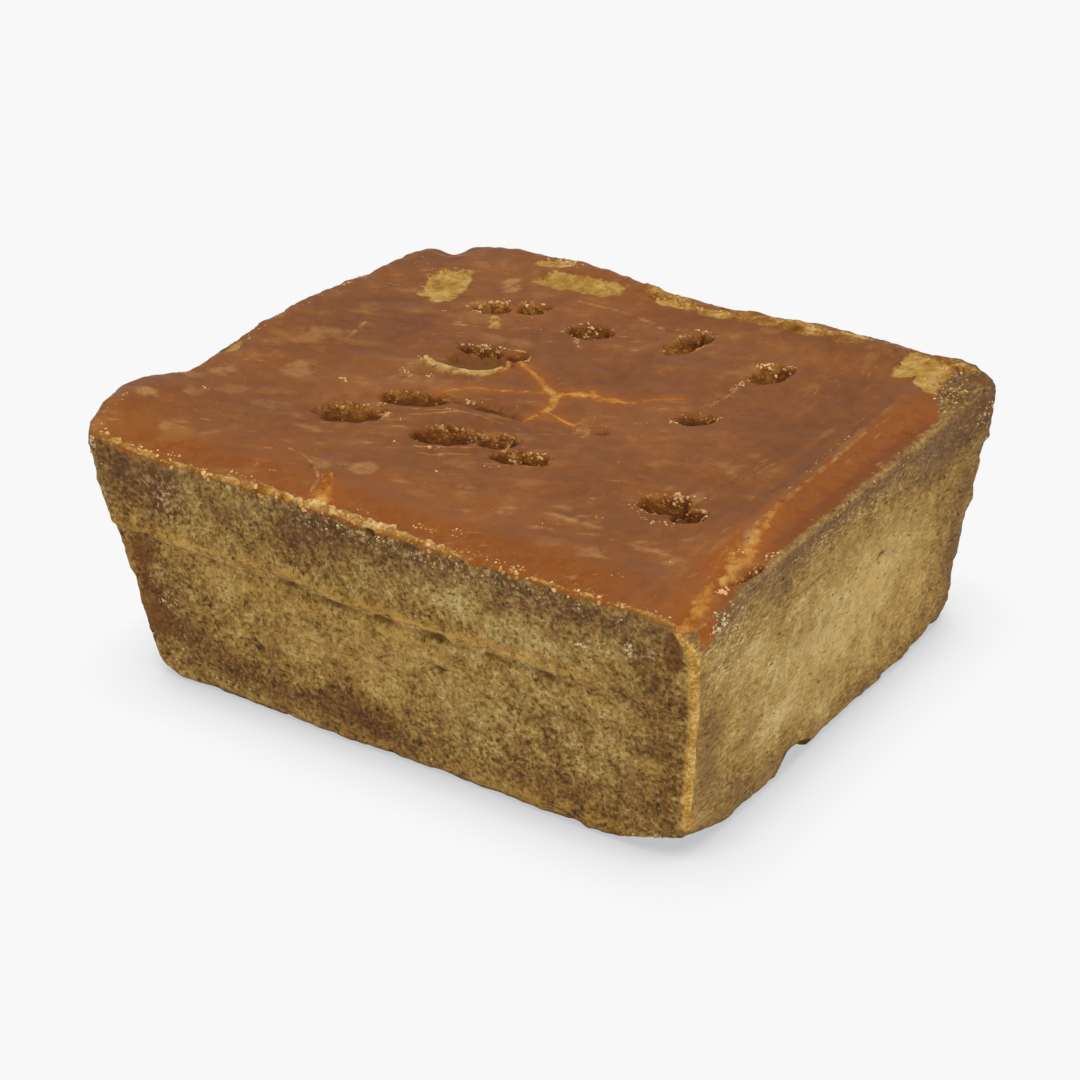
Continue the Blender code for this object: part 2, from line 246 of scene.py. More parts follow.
def makeBlank():
    bpy.ops.object.select_all(action="DESELECT")
    bpy.ops.mesh.primitive_grid_add(
        x_subdivisions=round(block["length"] / block["cell"]),
        y_subdivisions=round(block["width"] / block["cell"]),
        size=1,
    )
    blank = bpy.context.object
    blank.scale = (block["length"], block["width"], 1)
    bpy.ops.object.transform_apply(location=True, rotation=False, scale=True)

    editAll()
    bpy.ops.mesh.extrude_region_move(TRANSFORM_OT_translate={"value": (0, 0, block["height"])})
    bpy.ops.mesh.select_all(action="SELECT")
    bpy.ops.mesh.normals_make_consistent(inside=False)
    bpy.ops.object.mode_set(mode="OBJECT")

    # the upright edges are cut into rows
    points = coordinates(blank)
    ends = np.empty(len(blank.data.edges) * 2, dtype=int)
    blank.data.edges.foreach_get("vertices", ends)
    heights = points[ends.reshape(-1, 2), 2]
    selectPart(blank, "EDGE", np.abs(heights[:, 0] - heights[:, 1]) > 1)
    bpy.ops.mesh.subdivide(number_cuts=round(block["height"] / block["row"]) - 1)
    bpy.ops.object.mode_set(mode="OBJECT")

    # the middle of the base is one face; its border and the broken corner keep their cells
    x, y, z = readVectors(blank.data.polygons, "center").T
    inward = np.minimum(block["length"] / 2 - np.abs(x), block["width"] / 2 - np.abs(y))
    nearBreak = (x > 40) & (y < -26) & (x - y > 96)
    nearHollow = (x > 57) & (np.abs(y - block["baseHollow"]["at"][1]) < 11)
    kept = (inward < block["baseBorder"]) | nearBreak | nearHollow
    selectPart(blank, "FACE", (z < 0.01) & ~kept)
    bpy.ops.mesh.dissolve_faces()
    bpy.ops.object.mode_set(mode="OBJECT")
    return blank


def refineBlank(blank):
    # pits, veins, the near rim and the near corner get cells of half the size
    x, y, z = readVectors(blank.data.polygons, "center").T
    onTop = z > block["height"] - 0.01
    margin = 1.2  # round a pit
    chosen = np.zeros(len(x), dtype=bool)
    for px, py, length, width, depth, turn, gentle in pits:
        u, v = turned(x, y, px, py, turn)
        chosen |= onTop & (np.hypot(u / (length / 2 + margin), v / (width / 2 + margin)) < 1)
    for paleness, rise, points in veins:
        distance, width = alongLine(x, y, points)
        chosen |= onTop & (distance < width / 2 + 0.5)
    fromFront = y + block["width"] / 2
    fromRight = block["length"] / 2 - x
    chosen |= onTop & (fromFront < 4)
    chosen |= (fromFront < 0.01) & (z > block["height"] - 1.9)
    nearCorner = (fromFront < 3) & (fromRight < 3)
    chosen |= nearCorner & (z > 3)
    selectPart(blank, "FACE", chosen)
    bpy.ops.mesh.subdivide(number_cuts=1, ngon=False)
    bpy.ops.object.mode_set(mode="OBJECT")


# the block's shape

def sideInset(side, height):
    pairs = block["insets"][side]
    return np.interp(height, [pair[0] for pair in pairs], [pair[1] for pair in pairs])


def cornerSquares(x, y):
    # for each corner: the points in its square, their places in it, and the signs of its axes
    for name, radius in block["cornerRadii"].items():
        xSign = 1 if name.endswith("Right") else -1
        ySign = -1 if name.startswith("front") else 1
        u = (x * xSign - (block["length"] / 2 - radius)) / radius
        v = (y * ySign - (block["width"] / 2 - radius)) / radius
        inside = (u > 0) & (v > 0)
        yield inside, u[inside], v[inside], xSign, ySign, radius


def roundCorners(x, y):
    # the square corners of the plan are drawn in to arcs, each of its own radius
    newX, newY = x.copy(), y.copy()
    for inside, u, v, xSign, ySign, radius in cornerSquares(x, y):
        pull = np.maximum(u, v) / np.hypot(u, v) * radius
        newX[inside] = xSign * (block["length"] / 2 - radius + u * pull)
        newY[inside] = ySign * (block["width"] / 2 - radius + v * pull)
    return newX, newY


def lumpAt(x, y, column):
    total = np.zeros(len(x))
    for lump in block["rimLumps"]:
        total += lump[column] * np.exp(-(((x - lump[0]) ** 2 + (y - lump[1]) ** 2) / lump[2] ** 2))
    return total


def topHeight(x, y):
    halfLength, halfWidth = block["length"] / 2, block["width"] / 2
    fromLeftOrBack = np.minimum(x + halfLength, halfWidth - y)
    height = block["height"] - block["topSag"] * smooth(fromLeftOrBack, 0, 14)
    shoulder = block["shoulderWidth"]
    for distance in (y + halfWidth, halfLength - x):
        height = height + block["topSag"] * 0.6 * (1 - smooth(distance - shoulder, 0, shoulder))
        height = height - block["shoulderDrop"] * (1 - smooth(distance, 0, shoulder))
    return height + lumpAt(x, y, 3)


def brokenBase(x, y):
    broken = block["brokenCorner"]
    (x1, y1), (x2, y2) = broken["frontEnd"], broken["rightEnd"]
    beyond = ((x - x1) * (y2 - y1) - (y - y1) * (x2 - x1)) / math.hypot(x2 - x1, y2 - y1)
    beyond = np.maximum(beyond, 0)
    return broken["slope"] * beyond * beyond / (beyond + broken["softness"])


def pitFields(points):
    # the depth of the pits, how far inside one a point is, how far up its far wall, and how grey it is
    x, y = points[:, 0], points[:, 1]
    depth, inside = np.zeros(len(x)), np.full(len(x), -1.0)
    farWall, grey = np.zeros(len(x)), np.zeros(len(x))
    for number, (px, py, length, width, deep, turn, gentle) in enumerate(pits):
        u, v = turned(x, y, px, py, turn)
        u, v = u / (length / 2), v / (width / 2)
        r = np.hypot(u, v)
        near = np.flatnonzero(r < 1.9)
        ragged = (0.15 + 0.3 * (v[near] > 0)) * noiseAt(points[near], 2.4, number + 3)
        ragged += (0.05 + 0.3 * (v[near] > 0)) * noiseAt(points[near], 1.3, number + 30)
        r[near] += ragged
        wall = np.where(v > 0, 0.3 + 0.5 * gentle, 0.9 if number == brightPit else 0.46)
        bowl = 0.85 * deep * smooth(1.1 - r, 0, wall)
        deeper = bowl > depth
        depth = np.maximum(depth, bowl)
        # deeper pits get a stronger mark, so their painted shade is darker
        inside = np.maximum(inside, (1.1 - r) * min(1, (deep / 1.5) ** 1.5))
        farWall[deeper] = np.clip(v[deeper] * 0.5 + 0.5, 0, 1)
        grey[deeper] = number == brightPit
    return depth, inside, farWall, grey


def flakeField(points):
    # above zero inside a flake, with ragged edges
    x, y = points[:, 0], points[:, 1]
    field = np.full(len(x), -1.0)
    for number, (fx, fy, length, width, turn) in enumerate(flakes):
        u, v = turned(x, y, fx, fy, turn)
        r = (np.abs(u / (length / 2)) ** 3 + np.abs(v / (width / 2)) ** 3) ** (1 / 3)
        near = np.flatnonzero(r < 1.8)
        ragged = 0.3 * noiseAt(points[near], 3, number + 50)
        r[near] += ragged + 0.14 * noiseAt(points[near], 1.1, number + 70)
        field = np.maximum(field, 1 - r)
    return field


def smearField(points):
    x, y = points[:, 0], points[:, 1]
    field = np.zeros(len(x))
    for number, (sx, sy, length, width, turn, strength) in enumerate(smears):
        r = oval(x, y, sx, sy, length, width, turn)
        near = np.flatnonzero(r < 1.8)
        r[near] += 0.4 * noiseAt(points[near], 2.2, number + 90)
        field = np.maximum(field, strength * smooth(1.15 - r, 0, 0.35))
    return field


def veinFields(points):
    # how far inside a vein a point is, the vein's paleness, its rise, and the amber round the clear ones
    x, y = points[:, 0], points[:, 1]
    bend = 0.35 * noiseAt(points, 3.0, 14) + 0.2 * noiseAt(points, 1.1, 15)
    swell = 1 + 0.45 * noiseAt(points, 2.0, 16)
    ragged = 0.45 * noiseAt(points, 0.9, 17)
    core, pale, relief = np.full(len(x), -3.0), np.zeros(len(x)), np.zeros(len(x))
    amber = np.zeros(len(x))
    for paleness, rise, line in veins:
        distance, width = alongLine(x + bend, y - bend, line)
        inside = 1 - distance / np.maximum(width * swell / 2, 0.1) + ragged
        closer = inside > core
        core[closer], pale[closer] = inside[closer], paleness
        strength = rise * smooth(inside, -0.3, 0.6)
        relief = np.where(np.abs(strength) > np.abs(relief), strength, relief)
        if paleness <= 0.5:
            amber = np.maximum(amber, hill(distance, 0.9 + width))
    return core, pale, relief, amber


# tone of the sides, side by side: place along it, height, half width, half height, and how much paler
toneSpots = {
    "front": (
        (-58, 44, 9, 8, -0.85), (-8, 50, 19, 4.5, -0.7), (-20, 43, 6, 3.5, -0.6),
        (38, 49.5, 28, 4.5, -0.45), (43, 47, 8, 3.5, -0.35), (-37, 46, 11, 6, -0.3),
        (-8, 40, 12, 4.5, -0.25), (22, 39.5, 13, 4.5, 0.75), (38, 38, 12, 4.5, 0.5), (55, 39, 7, 6, -0.3),
        (-56, 15, 7, 12, -0.8), (-43, 9, 9, 6, -0.7), (-7, 8, 9, 5, -0.9), (18, 9, 13, 4, -0.3),
        (46, 8, 15, 5.5, -0.65), (61, 26, 5, 20, -0.6), (28, 28, 6, 4, -0.35), (-26, 22, 20, 9, 0.35),
        (8, 22, 20, 8, 0.3), (40, 25, 14, 6, 0.25), (-30, 9, 8, 4, -0.3), (-60, 28, 6, 5, -0.4),
        (-31, 38, 6, 4, -0.45), (-34, 45, 6, 4, -0.5), (-57, 49, 8, 4, -0.6), (-50, 43, 5, 5, -0.6),
        (-10, 46, 8, 5, -0.5), (-60, 20, 5, 5, -0.3), (-10, 18, 9, 6, 0.2), (20, 18, 6, 4, 0.4),
        (60, 41, 4, 5, -0.5), (0, 30, 5, 3, 0.5), (20, 30, 4, 3, 0.4), (16, 36, 9, 3, -0.7),
        (30, 42, 5, 3.5, -0.4), (55, 36, 8, 4, 0.45), (51, 42, 5, 3, 0.6), (20, 12, 6, 5, 0.5),
        (0, 6, 8, 4, -0.55), (-50, 6, 6, 4, 0.45), (-46, 19, 6, 5, -0.35), (-50, 12, 5, 3, -0.3),
        (-30, 48, 6, 3, 0.5), (-9, 48, 6, 2.5, -0.4), (21, 48, 5, 2.5, -0.4), (0, 4, 60, 3, -0.25),
        (-25, 7, 10, 3.5, -0.4), (32, 6, 6, 3, -0.25), (-27, 44, 8, 6, 0.3),
    ),
    "right": (
        (2, 21, 36, 16, 0.75), (12, 31, 12, 6, 0.15), (-6, 22, 12, 8, 0.15), (-44, 42, 8, 8, 0.2),
        (-28, 44, 14, 5, -0.5), (0, 51.5, 64, 3.4, -0.75), (58, 50, 9, 6, -0.5), (-49, 20, 5, 13, -0.55),
        (-40, 8, 12, 6, -0.3), (52, 22, 9, 22, -0.5), (38, 44.5, 18, 5, -0.65), (-5, 45.5, 26, 4.5, -0.1),
        (0, 3, 50, 3, -0.3), (30, 9, 10, 5, -0.15), (-20, 37, 26, 5, 0.35), (-14, 42, 18, 4, 0.25),
        (5, 15, 9, 6, -0.4), (-20, 6, 8, 4, -0.45), (-50, 48, 5, 4, -0.4), (-32, 18, 8, 5, 0.2),
        (10, 6, 6, 4, -0.3), (-27, 12, 8, 5, 0.5), (-40, 36, 5, 4, 0.35), (-40, 18, 5, 4, 0.3),
        (20, 27, 8, 14, 0.3), (-50, 6, 5, 3, 0.4), (0, 26, 40, 6, 0.3), (8, 22, 30, 16, 0.25),
        (-35, 36, 8, 4, 0.5), (-22, 12, 5, 4, 0.4), (-10, 24, 5, 5, 0.3), (-5, 6, 8, 4, 0.4),
        (0, 42, 6, 3, 0.4), (50, 12, 5, 6, -0.3), (50, 42, 5, 4, 0.4),
    ),
    "top": (
        (-60, 20, 10, 40, -0.8), (-45, 4, 12, 12, -0.9), (-42, 35, 8, 6, -0.5), (22, 44, 8, 8, -0.8),
        (41, 40, 9, 9, -0.8), (44, 0, 14, 14, -0.5), (45, 25, 16, 12, -0.4), (34, 53, 26, 3.2, -1.5),
        (-60, -45, 8, 8, -0.5), (-8, 52, 6, 3, -0.8), (64, -46, 5, 9, -0.8),
    ),
    "left": (
        (10, 45, 40, 6, -0.7), (-20, 17, 24, 9, 0.3), (30, 22, 18, 9, 0.15), (48, 24, 8, 22, -0.5),
        (5, 4, 30, 5, -0.6), (-50, 25, 8, 16, -0.4), (8, 30, 10, 4, -0.3),
    ),
    "back": (
        (0, 47, 48, 5, -0.65), (-20, 18, 26, 9, 0.3), (34, 21, 18, 10, 0.2), (-56, 24, 8, 20, -0.5),
        (10, 4, 30, 5, -0.5), (58, 28, 6, 16, -0.4), (0, 32, 14, 4, -0.25),
    ),
}

# warmer, yellower sugar on the sides, in the same way
warmSpots = {
    "front": (
        (-26, 29, 16, 3.5, 0.55), (3, 30, 9, 2.5, 0.45), (58.5, 17.5, 2.6, 2.6, 0.7), (0, 1.5, 62, 2, 0.6),
        (-20, 20, 26, 8, 0.35), (48, 29, 12, 2, 0.4), (40, 3, 18, 3, 0.5), (-56, 52, 10, 2, 0.4),
        (-50, 34.6, 12, 1.8, 0.6), (-44, 31, 10, 3, 0.3), (-60, 20, 5, 8, 0.6), (8, 28, 18, 6, 0.35),
        (0, 18, 16, 6, 0.25),
    ),
    "right": ((28, 16, 14, 6, 0.35), (14, 27, 14, 8, 0.6), (0, 20, 22, 7, 0.3)),
    "left": ((0, 34, 46, 2, 0.8), (0, 1.5, 50, 2, 0.5)),
    "back": ((0, 38, 46, 1.8, 0.7), (0, 1.5, 50, 2, 0.5)),
}

# smooth red-brown skin on the sides
skinSpots = {
    "front": (
        (-57.5, 28.5, 4, 3.4, 0.7), (-62, 40, 4, 8, 0.4), (-21, 31.9, 4.2, 0.9, 0.6), (-54, 13, 4, 5, 0.45),
        (41, 47.5, 5, 2.6, 0.3), (62.5, 12, 2, 7, 0.5), (-58, 17, 4, 9, 0.6), (60.5, 26, 2.5, 9, 0.35),
    ),
    "right": ((50, 26, 3, 8, 0.45), (-52, 20, 2.2, 12, 0.4), (57, 47, 5, 5, 0.55), (44, 41.5, 9, 1.5, 0.4)),
    "left": ((40, 30, 7, 4, 0.8),),
    "back": ((-40, 30, 8, 4, 0.8),),
}

# pale grey crystals on the sides
crystalSpots = {
    "front": (
        (2, 49.5, 22, 2.2, 0.85), (-14, 47.5, 4, 2, 0.6), (-49, 43.5, 5, 4.5, 1.1), (46, 41, 1.8, 1.6, 1.6),
        (56, 43.5, 1.8, 1.6, 1.6), (-54, 21, 5, 5, 0.6), (30, 48, 20, 2, 0.5), (60, 44, 5, 1.2, 0.6),
    ),
    "right": (
        (-47, 43, 6, 8, 1), (-51, 49, 4, 4, 0.9), (-44, 35, 7, 3, 0.7), (0, 47.5, 40, 2.5, 0.5),
        (57.5, 34.5, 1.8, 1.8, 1.6),
    ),
    "left": ((0, 47, 40, 3, 0.6),),
    "back": ((0, 47, 40, 3, 0.6),),
}

# small pits in the front: x, height, length, width, depth, turn
frontPits = (
    (0.5, 49.9, 2.6, 1.8, 1.2, -40), (13.6, 24.3, 3.8, 1.2, 0.9, -4), (28.2, 22, 2.4, 0.9, 0.8, -8),
    (-32.2, 24.2, 1.6, 1.2, 0.7, 0), (28.4, 45.8, 2.2, 0.9, 0.6, -5), (12.8, 49.1, 1.2, 1, 0.6, 0),
    (-28, 22.9, 2, 0.9, 0.5, 50), (-20.7, 18, 1.2, 1, 0.5, 0), (-12.5, 25.5, 1.2, 0.9, 0.5, 0),
    (-21, 31.9, 7.5, 1.5, 0.6, 0), (-10, 31.2, 7, 1.9, 0.7, 0), (1.5, 31.2, 6, 1.9, 0.75, 2),
    (13.5, 31.2, 5, 2.2, 0.8, 0), (25.5, 31.2, 3.2, 1.3, 0.6, 0), (37.6, 31.2, 5, 1.8, 0.7, 2),
    (14.5, 34.6, 10, 0.5, 0.4, 0), (28, 34.8, 6, 0.5, 0.4, 0), (44, 34.8, 4, 0.5, 0.35, 0),
    (-20, 34.7, 7, 0.6, 0.4, 0), (-37, 33.4, 6, 0.8, 0.5, -6), (-44.5, 35.2, 4, 0.6, 0.4, 4),
)
# and in the right side: y, height, and the same
rightPits = (
    (15.5, 31, 4.6, 1.7, 0.9, 0), (-29.5, 30, 1.9, 1.5, 0.6, 0), (15, 18, 1.9, 1.4, 0.6, 0),
    (-13.5, 38.7, 26, 1.1, 0.45, -5), (38, 38.9, 14, 1.1, 0.5, 1.5), (-6, 43.5, 20, 1, 0.3, 2),
    (-34, 42, 9, 1, 0.3, 6),
)


def spotAt(along, height, spot):
    # one soft spot: place along the side, height, half width, half height
    cu, cv, ru, rv = spot[:4]
    return hill(along - cu, ru, height - cv, rv)


def spotField(spots, side, along, height):
    total = np.zeros(len(height))
    for name, rows in spots.items():
        on = side == name
        for row in rows:
            total[on] += row[4] * spotAt(along[on], height[on], row)
    return total


def sidePitFields(side, onSide, along, height):
    depth, inside = np.zeros(len(along)), np.full(len(along), -1.0)
    for name, rows in (("front", frontPits), ("right", rightPits)):
        on = np.flatnonzero((side == name) & onSide)
        for px, pz, length, width, deep, turn in rows:
            r = oval(along[on], height[on], px, pz, length, width, turn)
            depth[on] = np.maximum(depth[on], deep * smooth(1.3 - r, 0, 0.7))
            # deeper pits get a stronger mark, so their painted shade is darker
            inside[on] = np.maximum(inside[on], (1.25 - r) * min(1, deep / 0.8))
    return depth, inside


# the ridge up the near corner: place across, height and width
ridgeLine = (
    (21, 51.2, 0.8), (22.2, 49.4, 1.2), (23.3, 47.6, 1.6), (24, 45, 1.9), (24.3, 40, 1.9), (24.5, 30, 1.9),
    (24.5, 20, 2.1), (24.1, 14, 2), (24.2, 7.5, 1.9),
)


def pourRelief(place, side, front):
    # the height over the wavy line between the two pours, and the step, swelling and groove along it
    level = place * (1, 1, 0)
    pourLine = np.zeros(len(place))
    for name, line in block["pourHeight"].items():
        pourLine[side == name] = line
    pourLine += 0.7 * noiseAt(level, 16, 5) + 0.35 * noiseAt(level, 5, 6)
    abovePour = place[:, 2] - pourLine
    relief = block["pourStep"] * smooth(abovePour, -1.2, 0.6)
    relief += 0.5 * front * hill(abovePour - 0.8, 1.1) * smooth(noiseAt(place, 6, 7), -0.3, 0.2)
    groove = 0.25 * (0.3 + 0.7 * front) * hill(abovePour + 1.4, 0.6)
    relief -= groove * smooth(noiseAt(place, 5, 37), 0, 0.3)
    return abovePour, relief


def paddleMarks(place):
    # strokes of the paddle along a slant in the middle, and along the right edge beside it
    x, y, z = place.T
    u, v = turned(x, y, 0, 0, block["paddleTurn"])
    slanted = noiseAt(np.c_[u * 0.22, v, z * 0], 3.4, 25) + 0.5 * noiseAt(np.c_[u * 0.3, v, z * 0], 1.7, 26)
    straight = noiseAt(np.c_[x, y * 0.1, z * 0], 2.6, 27) + 0.7 * noiseAt(np.c_[x, y * 0.12, z * 0], 1.4, 28)
    strokes = slanted + (straight - slanted) * smooth(x + 0.15 * y, 30, 46)
    return strokes * (1.2 + 1.4 * noiseAt(place, 14, 29)) + 0.9 * noiseAt(place, 5, 19)


def farCorner(x, y):
    # 1 in the crumbly far right corner, 0 away from it
    return smooth(x, 57, 63) * smooth(y, 36, 48)


def rimCrust(place, fromRim, side):
    # strength and rise of the crumbly crust along the rim, thick where it stands as a golden lip
    x, y = place[:, 0], place[:, 1]
    thick = smooth(x, -34, -22) * (1 - smooth(x, 14, 20))
    clumps = 0.6 * noiseAt(place, 1.5, 22) + 0.6 * noiseAt(place, 3.8, 23)
    frontCrust = hill(fromRim - 0.3 - 0.5 * thick, 0.5 + 0.35 * thick) * (side == "front")
    frontCrust *= smooth(x, -68, -60) * (0.5 + 0.5 * (1 - smooth(x, 14, 24)))
    backCrust = hill(fromRim - 3, 2.8) * (side == "back") * smooth(x, -20, -8)
    thinner = 0.72 - 0.3 * smooth(x, 28, 38) * (1 - smooth(x, 52, 58))
    crust = np.maximum(frontCrust, thinner * backCrust) * (1 + 0.9 * clumps)
    return crust, crust * (0.25 + 0.3 * thick + clumps) + clumps * farCorner(x, y)


def shapeBlock(blank):
    start = coordinates(blank)
    halfLength, halfWidth, full = block["length"] / 2, block["width"] / 2, block["height"]
    x0, y0, z0 = start.T
    fromX, fromY = halfLength - np.abs(x0), halfWidth - np.abs(y0)
    inward = np.minimum(fromX, fromY)
    onTop, onBase = z0 > full - 1e-3, z0 < 1e-3
    onSide = (inward < 1e-3) & ~onTop & ~onBase

    # which side a point is nearest to, and the outward direction in the plan
    shares = np.stack([-x0 / halfLength, x0 / halfLength, -y0 / halfWidth, y0 / halfWidth])
    side = np.array(["left", "right", "front", "back"])[shares.argmax(axis=0)]
    shares = np.clip(shares, 0, 1)
    outX = (np.sign(x0) * (fromX <= fromY)).astype(float)
    outY = (np.sign(y0) * (fromY < fromX)).astype(float)
    for inside, u, v, xSign, ySign, radius in cornerSquares(x0, y0):
        outX[inside], outY[inside] = xSign * u / np.hypot(u, v), ySign * v / np.hypot(u, v)

    # rounded corners and tapered sides
    x1, y1 = roundCorners(x0, y0)
    x = x1 + sideInset("left", z0) * shares[0] - sideInset("right", z0) * shares[1]
    y = y1 + sideInset("front", z0) * shares[2] - sideInset("back", z0) * shares[3]

    # the rim and the base's edge are rounded: an angle from flat out at the side to straight up on top
    z = z0.copy()
    angle = np.zeros(len(x))
    angle[onTop], angle[onBase] = math.pi / 2, -math.pi / 2
    wander = noiseAt(np.c_[x1, y1, z0 * 0], 7, 1)
    for sign, face, edge, rounding, strength in (
        (1, onTop, full, block["rimRounding"], 0.5), (-1, onBase, 0, block["baseRounding"], 0.3),
    ):
        radius = rounding * (1 + strength * wander)
        away = np.abs(z0 - edge)
        flat, upright = face & (inward < radius), onSide & (away < radius)
        angle[flat] = sign * math.pi / 4 * (1 + inward[flat] / radius[flat])
        angle[upright] = sign * math.pi / 4 * (1 - away[upright] / radius[upright])
        both = flat | upright
        move = inward[both] - radius[both] * (1 - np.cos(angle[both]))
        x[both] += outX[both] * move
        y[both] += outY[both] * move
        z[both] = edge - sign * radius[both] * (1 - np.abs(np.sin(angle[both])))
    sideways, up = np.cos(angle), np.sin(angle)

    # the top's own height and the broken corner of the base
    low, high = brokenBase(x, y), topHeight(x, y)
    z = low + z / full * (high - low)
    along = np.where((side == "left") | (side == "right"), y, x)
    place = np.c_[x, y, z]

    # swellings, waves, and the step where the second pour stands out
    swell = lumpAt(x1, y1, 4) * smooth(z0, 0.3 * full, full) + 0.7 * noiseAt(place, 26, 0)
    front = (side == "front").astype(float)
    abovePour, relief = pourRelief(place, side, front)
    relief += 0.34 * noiseAt(place, 4.5, 8) + 0.2 * noiseAt(place, 1.9, 9)
    holes, holeInside = sidePitFields(side, onSide, along, z)
    relief -= holes
    edges = 0.35 + 0.65 * np.maximum(smooth(z, full - 9, full - 1), 1 - smooth(z, 0.5, 5))
    relief += edges * (0.55 * noiseAt(place, 6.5, 31) + 0.4 * noiseAt(place, 2.7, 32))

    # the ridge up the near corner, with a hollow beside its upper end
    turn = math.radians(block["acrossTurn"])
    across = x * math.cos(turn) + y * math.sin(turn)
    nearCorner = (x > 55) & (y < -45)
    distance, width = alongLine(across + 0.3 * noiseAt(place, 2.5, 12), z, ridgeLine)
    ridge = np.where(nearCorner & ~onTop, 1 - distance / (width / 2), -3)
    relief += 0.75 * smooth(ridge, -0.5, 0.7) * nearCorner
    beside = spotAt(across, z, block["ridgeHollow"]) * nearCorner
    relief -= 1.1 * beside
    relief *= sideways

    # the top's relief
    depth, pitInside, farWall, grey = pitFields(place)
    flake, smear = flakeField(place), smearField(place)
    vein, paleness, veinRise, veinAmber = veinFields(place)
    topRelief = 0.5 * noiseAt(place, 30, 17) + 0.25 * noiseAt(place * (0.6, 1.4, 1), 9, 18)
    lift = paddleMarks(place)
    topRelief += 0.12 * lift + veinRise - depth
    rough = 1 - smooth(np.minimum(x + halfLength, halfWidth - y), 0, 3.5)
    topRelief += rough * (0.9 * noiseAt(place, 5.5, 33) + 0.5 * noiseAt(place, 2.2, 34))
    topRelief -= 0.4 * smooth(flake, 0, 0.1) * (1 + 0.5 * noiseAt(place, 1.5, 20))
    crest = hill(halfLength - x - block["crestInset"], 1.2) * smooth(y, -24, -12) * (1 - smooth(y, 30, 50))
    crest *= 0.8 + 0.8 * noiseAt(place, 8, 21)
    topRelief += 0.6 * crest
    lift += 1.2 * crest

    fromRim = np.where(onTop, inward, z0 - full)
    crust, crustRise = rimCrust(place, fromRim, side)

    out = (swell * smooth(shares.max(axis=0), 0.85, 1) * sideways + relief) * ~(onTop & (up > 0.999))
    out = out + crustRise * sideways * 0.6
    x, y = x + outX * out, y + outY * out
    z = z + (topRelief + crustRise) * smooth(up, 0.3, 1.0)
    z = np.where(onBase, low, np.maximum(z, 0))

    # the base's edge is chipped here and there
    chips = np.maximum(0, (1.5 - 1.0 * front) * noiseAt(place, 8, 35) + 0.45 * noiseAt(place, 2.2, 36) - 0.2)
    z += chips * np.where(onBase, 1 - smooth(inward, 0.3, 2.6), 1 - smooth(z0, 0, 4)) * ~onTop

    # the hollow under the right edge of the base: what is inside it moves out to its wall
    centre, radii = np.array(block["baseHollow"]["at"]), np.array(block["baseHollow"]["radii"])
    fromCentre = (np.c_[x, y, z] - centre) / radii
    reach = np.linalg.norm(fromCentre, axis=1) + 0.08 * noiseAt(place, 2.5, 24)
    hollow = (reach < 1) & (z < 8) & (x > 50)
    moved = centre + fromCentre[hollow] / reach[hollow, None] * radii
    x[hollow], y[hollow], z[hollow] = moved.T
    blank.data.vertices.foreach_set("co", np.c_[x, y, z].ravel())

    # what the materials read: the golden stripe over the pour line, the clear amber along the rim, and so on
    right = (side == "right").astype(float)
    pourGlow = hill(abovePour - 1 - 0.5 * noiseAt(place, 5, 39), 1.15) * front * smooth(x, -68, -58)
    pourGlow *= (1 - 0.8 * smooth(x, 44, 54)) * (1 + 0.5 * noiseAt(place, 7, 38))
    fromFront = y + halfWidth
    frontBand = (1 - smooth(fromFront, 3, 12)) * smooth(x, -70, -54) * (1 - 0.55 * smooth(x, 44, 56))
    behindBand = 0.42 * (smooth(fromFront, 3, 12) - smooth(fromFront, 14, 28))
    behindBand *= smooth(x, -60, -40) * (1 - smooth(x, 50, 60))
    rightBand = smooth(x, 55.5, 60.5) * (1 - smooth(y, 34, 54)) * smooth(y, -54, -40)
    tonePlace = np.where(onTop, "top", side), np.where(onTop, x, along), np.where(onTop, y, z)
    marks = {
        "fromRim": fromRim - 1.4 * right * smooth(y, -50, -40) - 6 * farCorner(x, y),
        "pit": np.where(onTop, pitInside, holeInside),
        "farWall": farWall,
        "grey": grey,
        "vein": np.where(onTop, vein, ridge),
        "paleness": np.where(onTop, paleness, 0.55),
        "flake": np.where(onTop, flake, -1),
        "smear": np.where(onTop, smear, 0),
        "crust": crust,
        "backRim": (side == "back").astype(float),
        "lift": np.where(onTop, lift, 0),
        "veinAmber": np.where(onTop, veinAmber, 0),
        "abovePour": abovePour,
        "tone": spotField(toneSpots, *tonePlace),
        "right": right,
        # painted contact shadow: the lowest millimetre of the sides is darkened where they meet the ground
        "foot": (1 - smooth(z, 0.15, 0.9)) * sideways,
        "crumbly": smooth(x, 57, 62) * smooth(y, 36, 46) * smooth(z, 40, 47),
        "alongEdge": smooth(x + 0.15 * y, 34, 46),
        "darkAmber": smooth(x, 61.5, 66) * (1 - smooth(y, 26, 50)),
        "warm": np.maximum(spotField(warmSpots, side, along, z), pourGlow),
        "skin": np.maximum(spotField(skinSpots, side, along, z), beside * 1.4),
        "crystal": spotField(crystalSpots, side, along, z),
        "amber": spotAt(across, z, block["cornerAmber"]) * nearCorner * ~onTop,
        "band": np.maximum(frontBand + behindBand, rightBand),
    }
    for name, values in marks.items():
        store = blank.data.attributes.new(name, "FLOAT", "POINT")
        store.data.foreach_set("value", values.astype(np.float32))


def readMark(piece, name):
    values = np.empty(len(piece.data.vertices), dtype=np.float32)
    piece.data.attributes[name].data.foreach_get("value", values)
    return values


